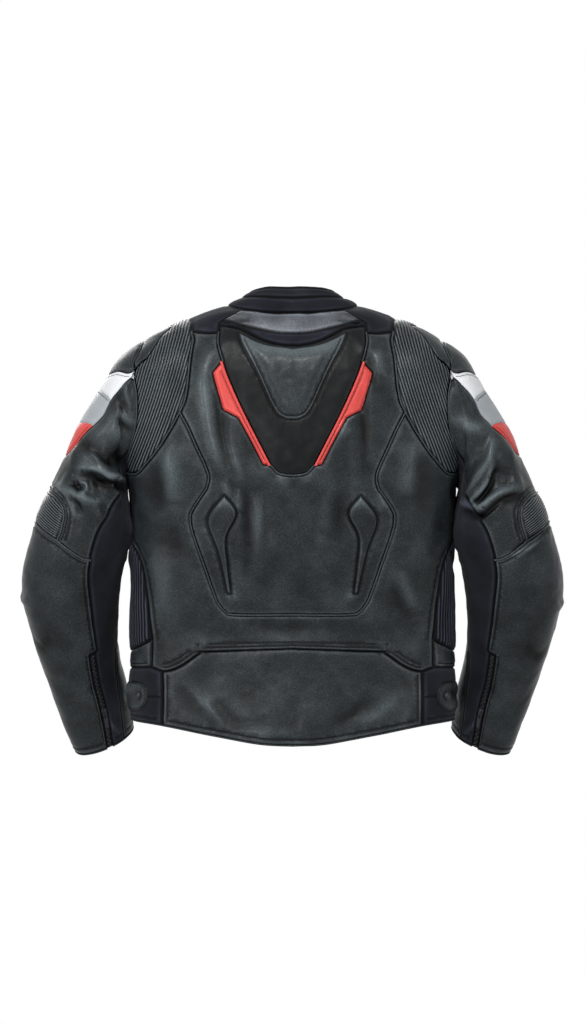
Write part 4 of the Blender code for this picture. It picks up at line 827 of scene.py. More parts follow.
# How a panel is meshed: from scaled spots to a flat plan with one unit a step, and back.
Plan = namedtuple("Plan", "flat spot")

TORSO_CLOTH = Cloth(TORSO_SKIN, TORSO_CREASES, 1)
LEFT_SLEEVE = Cloth(SLEEVE_SKIN, sleeve_creases(LEFT_REAR_CREASES, 0.0), 1)
RIGHT_SLEEVE = Cloth(SLEEVE_SKIN, sleeve_creases(RIGHT_REAR_CREASES, 0.22), -1)
COLLAR_CLOTH = Cloth(COLLAR_SKIN, (), 1)
# Stitched lines found while the panels are made: cloth, line and lift of each.
STITCH_ROWS = []
LOWER_SIDE_CLOCK = on_back(184, -586)[0]
FRONT_EDGE_HEIGHTS = (-554, -440, -330, -220, -130, -75, -45)
# Places of a blade that each of its edges runs through.
BLADE_RUNS = ((0, 1, 2, 3), (3, 4), (4, 5, 6, 7, 0))
# Piped seams: name, cord radius, distance to the left of the seam's run, lift.
TORSO_PIPING = (
    ("accordion_inner", 1.3, 0.0, 0.3),
    ("accordion_low", 1.3, 0.0, 0.3),
    ("hump_high", 1.0, 0.0, 0.4),
    ("hump_foot", 1.4, 0.0, 0.3),
    ("protector", 1.1, 0.0, 0.2),
)
SLEEVE_PIPING = (
    ("elbow_top", 1.5, 0.0, 0.4),
    ("elbow_foot", 1.5, 0.0, 0.4),
    ("elbow_rear", 1.5, 0.0, 0.4),
    ("armhole_pipe", 1.1, 0.0, 0.6),
)


def along_line(line, step):
    """A polyline's points at even steps along it, both ends included."""
    lengths = np.concatenate([[0], np.cumsum(np.linalg.norm(np.diff(line, axis=0), axis=1))])
    count = max(1, round(lengths[-1] / step))
    at = np.linspace(0, lengths[-1], count + 1)
    return np.stack([np.interp(at, lengths, line[:, k]) for k in range(line.shape[1])], -1)


def smooth_line(controls, step=6.0):
    """The smooth curve through a crease's few places, at even steps."""
    whole = run_out(controls)
    spots = [blend(*whole[i - 1 : i + 3], t) for i in range(1, len(whole) - 2) for t in np.linspace(0, 1, 9)[:-1]]
    return along_line(np.array(spots + [whole[-2]]), step)


def shifted(line, distance):
    """A line moved to its left by a distance, or to its right if negative."""
    run = np.gradient(line, axis=0)
    across = np.stack([-run[:, 1], run[:, 0]], -1)
    across /= np.maximum(np.linalg.norm(across, axis=1, keepdims=True), HAIR)
    return line + across * distance


def inside(spots, outline):
    """Which spots lie inside a closed outline."""
    found = np.zeros(len(spots), bool)
    ends = np.roll(outline, -1, axis=0)
    rise = ends[:, 1] - outline[:, 1]
    rise[rise == 0] = HAIR**2
    for first in range(0, len(spots), 4000):
        x, y = spots[first : first + 4000, 0:1], spots[first : first + 4000, 1:2]
        crossing = ((outline[:, 1] > y) != (ends[:, 1] > y)) & (
            x < outline[:, 0] + (y - outline[:, 1]) * (ends[:, 0] - outline[:, 0]) / rise
        )
        found[first : first + 4000] = crossing.sum(1) % 2 == 1
    return found


def nearest(spots, line, closed=False):
    """Each spot's distance to a line, the side it lies on and its share of the way along the line."""
    line = np.asarray(line, float)
    ends = np.roll(line, -1, axis=0) if closed else line[1:]
    starts = line if closed else line[:-1]
    run = ends - starts
    square = np.maximum((run**2).sum(1), HAIR**2)
    away, turned, share = (np.empty(len(spots)) for _ in range(3))
    for first in range(0, len(spots), 4000):
        offset = spots[first : first + 4000, None, :] - starts[None]
        part = np.clip((offset * run).sum(-1) / square, 0, 1)
        gap = np.linalg.norm(offset - part[..., None] * run, axis=-1)
        pick = gap.argmin(1)
        rows = np.arange(len(pick))
        away[first : first + 4000] = gap[rows, pick]
        share[first : first + 4000] = (pick + part[rows, pick]) / len(starts)
        cross = run[pick, 0] * offset[rows, pick, 1] - run[pick, 1] * offset[rows, pick, 0]
        turned[first : first + 4000] = np.sign(cross)
    return away, turned, share


def lumps(points):
    """Low uneven swells of supple cloth at points in millimetres."""
    total = np.zeros(len(points))
    for length, rise, tilt in LUMPS:
        lean = Matrix.Rotation(tilt, 3, Vector((1.0, 0.7, 0.4))).to_3x3()
        a, b, c = (points @ np.array(lean) * (2 * math.pi / length)).T
        total += rise * np.sin(a + 1.3 * np.sin(b)) * np.cos(c * 0.8 + 1.1 * np.sin(a * 0.7)) * np.cos(b * 0.6 + 0.9)
    return total


def crease_rise(spots, creases, scale):
    """The rise of the listed creases: each is a height, a reach to each side and the places of its crest."""
    total = np.zeros(len(spots))
    for rise, left_reach, right_reach, crest in creases:
        line = smooth_line(np.array(crest, float) * scale)
        reach = CREASE_FADE * max(left_reach, right_reach)
        near = ((spots > line.min(0) - reach) & (spots < line.max(0) + reach)).all(1)
        if near.any():
            away, turned, share = nearest(spots[near], line)
            width = np.where(turned > 0, left_reach, right_reach)
            taper = np.sin(np.pi * np.clip(share, 0, 1)) ** CREASE_TAPER
            total[near] += CREASE_GAIN * rise * np.exp(-((away / width) ** 2)) * taper
    return total


def crease_rows(cloth, outline):
    """Spots in rows along the sharper creases inside an outline, so that the mesh follows them."""
    rows = [np.zeros((0, 2))]
    for _, left_reach, right_reach, crest in cloth.creases:
        if max(left_reach, right_reach) > SHARP_REACH:
            continue
        line = smooth_line(np.array(crest, float) * cloth.skin.scale, CREASE_ROW_STEP)
        for share in CREASE_SPREAD:
            moved = shifted(line, share * (left_reach if share > 0 else right_reach))
            rows.append(moved[inside(moved, outline)])
    spots = np.vstack(rows)
    if len(spots):
        spots = spots[nearest(spots, outline, closed=True)[0] > EDGE_ROWS[-1] + CREASE_CLEAR]
        spots = spots[np.sort(np.unique(np.round(spots / CREASE_CELL), axis=0, return_index=True)[1])]
    return spots


def relief(cloth, spots, points):
    """The rise of creases and swells on a cloth at spots in scaled millimetres."""
    return crease_rise(spots, cloth.creases, cloth.skin.scale) + lumps(points * (cloth.side, 1, 1))


def seam_tone(edge):
    """Painted shade where the leather rolls under at a seam, and a painted highlight on the ridge beside it."""
    ridge = np.exp(-(((edge - RIDGE_PLACE) / RIDGE_REACH) ** 2))
    return RIDGE_TONE * ridge - ROLL_TONE * np.exp(-((edge / ROLL_REACH) ** 2))


def spots_of(chain, skin):
    return np.array([r.place for r in chain]) * skin.scale


def beside(line, distance, outline):
    """A line moved sideways into an outline, without the parts that leave it."""
    moved = shifted(line, distance)
    if inside(moved, outline).mean() < 0.5:
        moved = shifted(line, -distance)
    kept = moved[inside(moved, outline)]
    return kept[nearest(kept, outline, closed=True)[0] > 0.86 * distance] if len(kept) else kept


def edge_rows(outline):
    """Spots in rows just inside a closed outline."""
    run = np.roll(outline, -1, axis=0) - outline
    run /= np.maximum(np.linalg.norm(run, axis=1, keepdims=True), HAIR)
    ahead = np.stack([-run[:, 1], run[:, 0]], -1)
    across = ahead + np.roll(ahead, 1, axis=0)
    across /= np.maximum((across**2).sum(1, keepdims=True), 0.6) / 2
    rows = []
    for distance in EDGE_ROWS:
        moved = outline + across * distance
        moved = moved[inside(moved, outline)]
        rows.append(moved[nearest(moved, outline, closed=True)[0] > 0.85 * distance])
    return np.vstack(rows)


def even_plan(step):
    return Plan(lambda spots: spots / step, lambda flat: flat * step)


def grid(outline, plan):
    """An even spread of spots over an outline's plan."""
    flat = plan.flat(outline)
    low, high = flat.min(0), flat.max(0)
    rows = np.arange(low[1] + 0.4, high[1], 0.87)
    x = np.arange(low[0] + 0.4, high[0], 1.0)
    spots = np.array([(a + 0.5 * (k % 2), b) for k, b in enumerate(rows) for a in x])
    return plan.spot(spots) if len(spots) else spots


def edge_shift(loop):
    """How far each rim moves into its panel, so that half the seam gap stays free along both its edges."""
    points = np.array([r.point for r in loop])
    out = np.array([r.out for r in loop])
    run = np.roll(points, -1, axis=0) - points
    ahead = np.cross(run, out)
    ahead /= np.linalg.norm(ahead, axis=1, keepdims=True)
    behind = np.cross(points - np.roll(points, 1, axis=0), out)
    behind /= np.linalg.norm(behind, axis=1, keepdims=True)
    both = np.maximum(1 + (ahead * behind).sum(1, keepdims=True), 0.3)
    return (ahead + behind) / both * SEAM_GAP / 2


def link(name, mesh, slot, look=None, body="jacket"):
    """A finished piece of the jacket that moves with one of its bodies."""
    mesh.materials.append(finish(look or slot))
    made = bpy.data.objects.new(name, mesh)
    bpy.data.collections["Jacket"].objects.link(made)
    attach(made, body)
    return made


def panel(
    node, cloth, loop, slot, channels=(), plan=None, extra=None, rows=True, lift=0.0, wall=LEATHER_WALL, roll=1.0
):
    """A panel of cloth in place of its node, meshed on a plan, with relief from its seams and creases."""
    skin = cloth.skin
    outline = spots_of(loop, skin)
    if ((outline * np.roll(outline, -1, axis=0)[:, ::-1]) @ (1, -1)).sum() < 0:
        loop = back(loop)
        outline = outline[::-1]
    plan = plan or even_plan(bpy.context.scene.jacket_sizes.cloth_step / MM)
    lines = [beside(spots_of(c.chain, skin), c.distance, outline) for c in channels]
    grooves = [(channel, line) for channel, line in zip(channels, lines) if len(line) > 2]
    laid = [edge_rows(outline)] if rows else []
    for channel, line in grooves:
        for shift in (-channel.width, 0.0, channel.width):
            moved = shifted(line, shift)
            laid.append(moved[inside(moved, outline)])
    laid = np.vstack(laid) if laid else np.zeros((0, 2))
    if len(laid):
        laid = laid[nearest(laid, outline, closed=True)[0] > RIM_CLEAR]
    folded = crease_rows(cloth, outline) if rows else np.zeros((0, 2))
    for channel, line in grooves:
        if len(folded):
            folded = folded[nearest(folded, line)[0] > GROOVE_CLEAR * channel.width]
    spread = grid(outline, plan)
    spread = spread[inside(spread, outline)]
    spread = spread[nearest(spread, outline, closed=True)[0] > (EDGE_ROWS[-1] + ROW_CLEAR if rows else 1.0)]
    for channel, line in grooves:
        spread = spread[nearest(spread, line)[0] > GROOVE_CLEAR * channel.width]
    if len(folded):
        taken = {tuple(cell) for cell in np.round(folded / SPREAD_CELL).astype(int)}
        spread = spread[[tuple(cell) not in taken for cell in np.round(spread / SPREAD_CELL).astype(int)]]
    spots = np.vstack([outline, laid, folded, spread])
    flat = plan.flat(spots)
    cut = delaunay_2d_cdt([Vector(p) for p in flat], [], [list(range(len(outline)))], 1, HAIR, True)
    order = np.array([ids[0] for ids in cut[3]])
    corners = order[np.array(cut[2])]
    middles = flat[corners].mean(1)
    corners = corners[inside(middles, plan.flat(outline))]
    rim_points = np.array([r.point for r in loop]) + edge_shift(loop)
    rim_out = np.array([r.out for r in loop])
    places = spots[len(outline):] / skin.scale
    base = np.vstack([rim_points, skin.point(places[:, 0], places[:, 1])])
    out = np.vstack([rim_out, way_out(skin, places)])
    edge = nearest(spots, outline, closed=True)[0]
    creased = relief(cloth, spots, base)
    # The tone paints light and shade: lighter crests and darker hollows on the creases, painted shade where the
    # cloth rolls under at a seam, and a painted highlight on the ridge beside it.
    tone = PLAIN_TONE + CREASE_TONE * creased + seam_tone(edge) * roll
    rise = lift + creased
    rise += roll * SEAM_PUFF * (1 - np.exp(-((edge / PUFF_REACH) ** 2)))
    rise -= roll * SEAM_ROLL * np.exp(-((edge / ROLL_REACH) ** 2))
    for channel, line in grooves:
        away = nearest(spots, line)[0] / channel.width
        lip, groove = np.exp(-((away - LIP_PLACE) ** 2)), np.exp(-(away**2))
        rise += channel.depth * (LIP_RISE * lip - groove)
        # A painted highlight on the lip and painted shade in the groove.
        tone += LIP_TONE * lip - GROOVE_TONE * groove
    # Pads, ribs and the neck panel add their own painted highlights and shade to the tone.
    if extra:
        shape, shine = extra(spots, base, edge)
        rise += shape
        tone += shine
    mirror = np.array([cloth.side, 1.0, 1.0])
    points = (base + out * rise[:, None]) * mirror
    facing = np.cross(points[corners[:, 1]] - points[corners[:, 0]], points[corners[:, 2]] - points[corners[:, 0]])
    if (facing * out[corners[:, 0]] * mirror).sum() < 0:
        corners = corners[:, ::-1]
    mesh = bpy.data.meshes.new(node + "_shell")
    mesh.from_pydata(points * MM, [], corners.tolist())
    mesh.shade_smooth()
    painted_tone = mesh.attributes.new("tone", "FLOAT", "POINT")
    painted_tone.data.foreach_set("value", np.clip(tone, 0, 1).astype(np.float32))
    weave = mesh.uv_layers.new(name="cloth")
    loops = np.empty(len(mesh.loops), np.int32)
    mesh.loops.foreach_get("vertex_index", loops)
    weave.data.foreach_set("uv", (spots[loops] * MM).astype(np.float32).ravel())
    made = link(node + "_shell", mesh, slot)
    mesh.materials.append(finish("flesh_side"))
    shell = made.modifiers.new("wall", "SOLIDIFY")
    shell.thickness = wall * MM
    shell.offset = -1.0
    shell.material_offset = 1
    shell.material_offset_rim = 0
    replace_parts(made, node)
    STITCH_ROWS.extend((cloth, line, lift) for channel, line in grooves if channel.stitched)


def back_seam(controls):
    return seam(TORSO_SKIN, [on_back(x, z) for x, z in controls])


def side_seam(controls):
    return seam(TORSO_SKIN, controls)


def arm_seam(controls):
    return seam(SLEEVE_SKIN, controls)


def torso_seams():
    """Every seam of the torso's left half, by name."""
    s = {}
    s["neck_back"] = neck_rims(0, NECK_CORNER, False)
    s["neck_front"] = neck_rims(NECK_CORNER, NECK_FRONT, False)
    s["yoke_neck"] = seam(TORSO_SKIN, [s["neck_back"][-1].place, on_back(*YOKE_INNER[0])])
    s["yoke_inner_high"] = back_seam(YOKE_INNER[:2])
    s["yoke_inner_low"] = back_seam(YOKE_INNER[1:])
    s["yoke_foot"] = back_seam((YOKE_INNER[-1], (123, -34), ACCORDION_INNER[0]))
    s["yoke_outer"] = seam(TORSO_SKIN, [on_back(*p) for p in YOKE_EDGE] + [*YOKE_OUTER])
    s["yoke_front"] = seam(TORSO_SKIN, (s["neck_front"][-1].place, *YOKE_FRONT))
    s["neck_low"] = back_seam(NECK_LOW)
    s["hump_top"] = back_seam(HUMP_TOP)
    s["hump_high"] = back_seam(HUMP_EDGE[:2])
    s["hump_low"] = back_seam(HUMP_EDGE[1:])
    s["hump_foot"] = back_seam(HUMP_FOOT)
    s["flash_block"] = back_seam(FLASH_BLOCK[:2]) + back_seam(FLASH_BLOCK[1:3]) + back_seam(FLASH_BLOCK[2:])
    s["flash_strip"] = back_seam(FLASH_STRIP)
    s["flash_end"] = back_seam((FLASH_STRIP[-1], HUMP_FOOT[0]))
    s["accordion_inner"] = back_seam(ACCORDION_INNER)
    tip = tuple(armhole_clock(RIB_TIP_TURN))
    s["accordion_low"] = seam(TORSO_SKIN, [on_back(*p) for p in ACCORDION_LOW] + [tip])
    s["shoulder_front"] = seam(TORSO_SKIN, (tuple(armhole_clock(SHOULDER_FRONT_TURN)), YOKE_OUTER[-1]))
    s["protector"] = back_seam(PROTECTOR) + back_seam(PROTECTOR_STEP) + back_seam(PROTECTOR_FOOT)
    s["lower_top"] = back_seam(LOWER_TOP)
    s["side_back"] = side_seam([tuple(armhole_clock(SIDE_BACK_TURN)), *SIDE_BACK])
    s["side_back_low"] = side_seam(SIDE_BACK_LOW)
    s["side_front"] = side_seam([tuple(armhole_clock(SIDE_FRONT_TURN)), *SIDE_FRONT])
    s["side_front_low"] = side_seam(SIDE_FRONT_LOW)
    s["rib_foot"] = side_seam(RIB_FOOT)
    s["leather_foot"] = side_seam(LEATHER_FOOT)
    s["lower_corner"] = seam(TORSO_SKIN, (SIDE_BACK_LOW[-1], on_back(*LOWER_TOP[0])))
    s["lower_side"] = seam(TORSO_SKIN, (on_back(*LOWER_TOP[0]), hem_place(LOWER_SIDE_CLOCK)))
    s["hem_back"] = hem_rims(LOWER_SIDE_CLOCK, 0)
    s["waist_front"] = seam(TORSO_SKIN, (SIDE_FRONT_LOW[-1], hem_place(SIDE_FRONT_LOW[-1][0])))
    s["hem_side"] = hem_rims(SIDE_FRONT_LOW[-1][0], LOWER_SIDE_CLOCK)
    s["zip_edge"] = seam(TORSO_SKIN, [on_front(ZIP_HALF, z) for z in FRONT_EDGE_HEIGHTS])
    s["hem_front"] = hem_rims(s["zip_edge"][0].place[0], SIDE_FRONT_LOW[-1][0])
    s["neck_end"] = neck_rims(NECK_FRONT, s["zip_edge"][-1].place[0], False)
    s["armhole_rib"] = armhole_rims(RIB_TIP_TURN, SHOULDER_FRONT_TURN - 360, False)
    s["armhole_back"] = armhole_rims(RIB_TIP_TURN, SIDE_BACK_TURN, False)
    s["armhole_side"] = armhole_rims(SIDE_BACK_TURN, SIDE_FRONT_TURN, False)
    s["armhole_front"] = armhole_rims(SIDE_FRONT_TURN, SHOULDER_FRONT_TURN, False)
    return s


def sleeve_half(controls):
    """A seam over the sleeve's outer edge, from its controls at the rear, ending on the edge."""
    ahead = [(-turn, ring) for turn, ring in reversed(controls)]
    if controls[-1][0] == 0:
        ahead = ahead[1:]
    return list(controls) + ahead


def cuff_rims(first, last):
    turns = np.linspace(first, last, max(1, round(abs(last - first) / 3)) + 1)
    return rims(SLEEVE_SKIN, [(t, CUFF) for t in turns])


def turned_on(chain):
    """The same seam one whole turn further round the sleeve."""
    return [Rim((r.place[0] + 360, r.place[1]), r.point, r.out) for r in chain]


def sleeve_seams():
    """Every seam of the left sleeve, by name."""
    across = {
        "cup_seam": CUP_SEAM, "cup_low": CUP_LOW, "white_grey": WHITE_GREY, "grey_red": GREY_RED,
        "red_low": RED_LOW, "elbow_top": ELBOW_TOP, "elbow_foot": ELBOW_FOOT,
    }
    down = {
        "white_low": WHITE_LOW, "grey_low": GREY_LOW, "elbow_rear": ELBOW_REAR, "elbow_ahead": ELBOW_AHEAD,
        "inner_upper": INNER_UPPER, "inner_lower": INNER_LOWER, "front_upper": FRONT_SEAM_UPPER,
        "front_lower": FRONT_SEAM_LOWER, "zip_outer": ZIP_OUTER, "zip_inner": ZIP_INNER, "gusset": GUSSET,
        "gusset_top": GUSSET_TOP, "inner_front": INNER_FRONT, "insert_side": INSERT_TOP[:2],
        "insert_end": INSERT_TOP[1:],
    }
    s = {name: arm_seam(sleeve_half(controls)) for name, controls in across.items()}
    s.update((name, arm_seam(controls)) for name, controls in down.items())
    for name in ("white_low", "grey_low"):
        s[name + "_front"] = arm_seam([(-turn, ring) for turn, ring in down[name]])
    s["armhole_pipe"] = armhole_rims(CUP_TURN + 8, INNER_TURN + 30, True)
    zip_out, zip_in, gusset, front = ZIP_OUTER[-1][0], ZIP_INNER[-1][0], GUSSET[-1][0], FRONT_SEAM_LOWER[-1][0]
    s["cuff_forearm"] = cuff_rims(zip_out, front)
    s["cuff_zip"] = cuff_rims(zip_out, zip_in)
    s["cuff_gusset"] = cuff_rims(gusset, zip_in)
    s["cuff_front"] = cuff_rims(360 + front, gusset)
    return s


def shoulder_line(height):
    """Width of a rib of the shoulder at a height: ribs lean outwards, more and more, on their way down."""
    return -RIB_LEAN * height + RIB_CURL * height**2


def shoulder_plan():
    """Plan of the ribbed shoulder: ribs run level with its lower seam, up the back and over to the front."""
    heights = np.linspace(-62.0, 5.0, 68)
    crest_across = along(TORSO, heights)[:, 0] - shoulder_line(heights)

    def crest(across):
        return np.interp(-across, -crest_across, heights)

    def flat(spots):
        clock, height = np.abs(spots[:, 0]) / TORSO_PLAIN.scale[0], spots[:, 1]
        points = torso_point(clock, height)
        across = points[:, 0] - shoulder_line(height)
        drop = np.sqrt(np.maximum(crest(across) - height, 0)) * np.sign(points[:, 1])
        return np.stack([across / RIB_FINE, drop / RIB_DROP], -1)

    def spot(flat_spots):
        across, drop = flat_spots[:, 0] * RIB_FINE, flat_spots[:, 1] * RIB_DROP
        height = crest(across) - drop**2
        wide, rear, front, square = along(TORSO, height).T
        deep = np.where(drop >= 0, rear, front)
        share = np.clip((across + shoulder_line(height)) / wide, 0, 1)
        y = deep * (1 - share**square) ** (1 / square) * np.where(drop >= 0, 1, -1)
        clock = np.degrees(np.arctan2(share * wide, y))
        return np.stack([clock * TORSO_PLAIN.scale[0], height], -1)

    return Plan(flat, spot)


def elbow_plan():
    """Plan of the ribbed elbow: ribs run level with its foot."""
    foot_rows = [(t, r) for t, r in reversed(ELBOW_FOOT)]
    wide, long = SLEEVE_PLAIN.scale

    def flat(spots):
        foot = along(foot_rows, np.abs(spots[:, 0]) / wide)[:, 0]
        return np.stack([(foot * long - spots[:, 1]) / RIB_FINE, spots[:, 0] / RIB_ALONG], -1)

    def spot(flat_spots):
        turned = flat_spots[:, 1] * RIB_ALONG
        foot = along(foot_rows, np.abs(turned) / wide)[:, 0]
        return np.stack([turned, foot * long - flat_spots[:, 0] * RIB_FINE], -1)

    return Plan(flat, spot)


def side_plan():
    """Plan of the ribbed side: upright ribs."""
    size = np.array([RIB_FINE, RIB_ALONG])
    return Plan(lambda spots: spots / size, lambda flat: flat * size)


def ribs(plan, pitch, rise):
    """Rounded ribs across a plan, sewn flat at the panel's edge, with painted highlights on their crests and painted
    shade between them.
    """

    def extra(spots, base, edge):
        across = plan.flat(spots)[:, 0] * RIB_FINE
        wave = np.abs(np.sin(np.pi * across / pitch))
        sewn = np.clip(edge / RIB_SEWN, 0, 1)
        return rise * wave * sewn, RIB_SHINE * (wave**1.4 - RIB_MIDDLE) * sewn

    return extra


def mirrored(plan):
    """The same plan for the jacket's right half."""
    return Plan(lambda spots: plan.flat(spots * (-1, 1)), lambda flat: plan.spot(flat) * (-1, 1))


def build_back():
    """Centre back, the panel round it, the lower back and the neck."""
    s = torso_seams()

    def wide(name):
        return s[name] + flipped(s[name]) if s[name][-1].place[0] == 0 else s[name]

    neck = whole_loop(s["neck_back"], s["yoke_neck"], s["neck_low"])

    def neck_puff(spots, base, edge):
        puff = NECK_PUFF * (1 - np.exp(-((edge / NECK_REACH) ** 2)))
        # A painted sheen across the middle of the panel, with painted shade towards its ends.
        return puff, NECK_TONE - NECK_TONE_LOSS * np.abs(base[:, 0] / 100) ** 3

    panel("neck_panel", TORSO_CLOTH, neck, "neck_grey", extra=neck_puff)
    crescent = whole_loop(back(s["neck_low"]), s["yoke_inner_high"], s["hump_top"])
    panel("neck_insert", TORSO_CLOTH, crescent, "stretch", wall=STRETCH_WALL)
    hump = whole_loop(back(s["hump_top"]), s["yoke_inner_low"], s["hump_high"], s["hump_low"], s["hump_foot"])
    panel("hump_base", TORSO_CLOTH, hump, "hump_leather", [Channel(pad_sides(), 0.0, 1.2, 1.6, False)])
    centre = whole_loop(
        back(s["hump_foot"]), back(s["flash_end"]), back(s["flash_strip"]), back(s["flash_block"]),
        back(s["hump_high"]), s["yoke_foot"], s["accordion_inner"], s["protector"],
    )
    blade = blade_outline()
    grooves = [Channel(chain, 0.0, 1.8, 1.7, False) for chain in (blade, flipped(blade))]
    panel("back_center", TORSO_CLOTH, centre, "leather", grooves)
    outer = whole_loop(
        back(s["protector"]), s["accordion_low"], s["armhole_back"], s["side_back"], s["side_back_low"],
        s["lower_corner"], s["lower_top"],
    )
    channels = [
        Channel(wide("lower_top"), 4.8, 1.2, 1.1),
        Channel(wide("lower_top"), 9.8, 1.1, 1.1),
        Channel(s["side_back"], 7.2, 1.1, 1.0),
        Channel(flipped(s["side_back"]), 7.2, 1.1, 1.0),
    ]
    panel("back_outer", TORSO_CLOTH, outer, "leather", channels)
    lower = whole_loop(back(s["lower_top"]), s["lower_side"], s["hem_back"])
    channels = [
        Channel(wide("hem_back"), 7.5, 1.3, 1.1),
        Channel(s["lower_side"], 5.2, 1.0, 1.0),
        Channel(flipped(s["lower_side"]), 5.2, 1.0, 1.0),
    ]
    panel("lower_back", TORSO_CLOTH, lower, "leather", channels)


def build_flanks():
    """Flashes, ribbed shoulders, yokes, side ribs, side leather, waist stretch and fronts, on both sides."""
    s = torso_seams()
    flash = loop_of(s["flash_block"], s["flash_strip"], s["flash_end"], back(s["hump_low"]))
    ribbed = loop_of(
        s["accordion_inner"], s["accordion_low"], s["armhole_rib"], s["shoulder_front"], back(s["yoke_outer"]),
    )
    yoke = loop_of(
        s["neck_front"], s["yoke_front"], back(s["yoke_outer"]), back(s["yoke_foot"]),
        back(s["yoke_inner_low"]), back(s["yoke_inner_high"]), back(s["yoke_neck"]),
    )
    side = loop_of(s["armhole_side"], s["side_front"], back(s["rib_foot"]), back(s["side_back"]))
    side_leather = loop_of(s["rib_foot"], s["side_front_low"], back(s["leather_foot"]), back(s["side_back_low"]))
    waist = loop_of(
        back(s["lower_corner"]), s["leather_foot"], s["waist_front"], s["hem_side"], back(s["lower_side"]),
    )
    front = loop_of(
        s["hem_front"], back(s["waist_front"]), back(s["side_front_low"]), back(s["side_front"]),
        s["armhole_front"], s["shoulder_front"], back(s["yoke_front"]), s["neck_end"], back(s["zip_edge"]),
    )
    groove = 1.0
    waist_line = side_seam((on_back(187, -548), (92, -548), (105, -548)))
    for side_name, turn in (("left", lambda chain: chain), ("right", flipped)):
        sign = 1 if side_name == "left" else -1
        shoulder, upright = shoulder_plan(), side_plan()
        if sign < 0:
            shoulder = mirrored(shoulder)
        seams = {name: turn(chain) for name, chain in s.items()}
        panel(
            f"flash_{side_name}", TORSO_CLOTH, turn(flash), "red_leather",
            [Channel(seams["hump_low"], 5.2, 1.2, 0.9)],
        )
        rib = ribs(shoulder, SHOULDER_PITCH, SHOULDER_RIB)
        panel(f"shoulder_rib_{side_name}", TORSO_CLOTH, turn(ribbed), "leather", (), shoulder, rib, False)
        panel(f"yoke_{side_name}", TORSO_CLOTH, turn(yoke), "stretch", wall=STRETCH_WALL)
        rib = ribs(upright, SIDE_PITCH, SIDE_RIB)
        panel(
            f"side_rib_{side_name}", TORSO_CLOTH, turn(side), "stretch", (), upright, rib, False,
            wall=STRETCH_WALL,
        )
        panel(
            f"side_panel_{side_name}", TORSO_CLOTH, turn(side_leather), "leather",
            [Channel(seams["leather_foot"], 5.0, groove, 0.9)],
        )
        panel(
            f"waist_stretch_{side_name}", TORSO_CLOTH, turn(waist), "stretch",
            [Channel(seams["hem_side"], 7.5, 1.0, 1.0), Channel(turn(waist_line), 0.0, 1.2, 0.9, False)],
            wall=STRETCH_WALL,
        )
        channels = [
            Channel(seams["hem_front"], 7.5, 0.9, 1.0),
            Channel(seams["side_front"], 5.0, groove, 0.9),
            Channel(seams["zip_edge"], 5.0, 0.8, 0.9),
            Channel(seams["yoke_front"], 4.0, groove, 0.9),
        ]
        panel(f"front_{side_name}", TORSO_CLOTH, turn(front), "leather", channels)


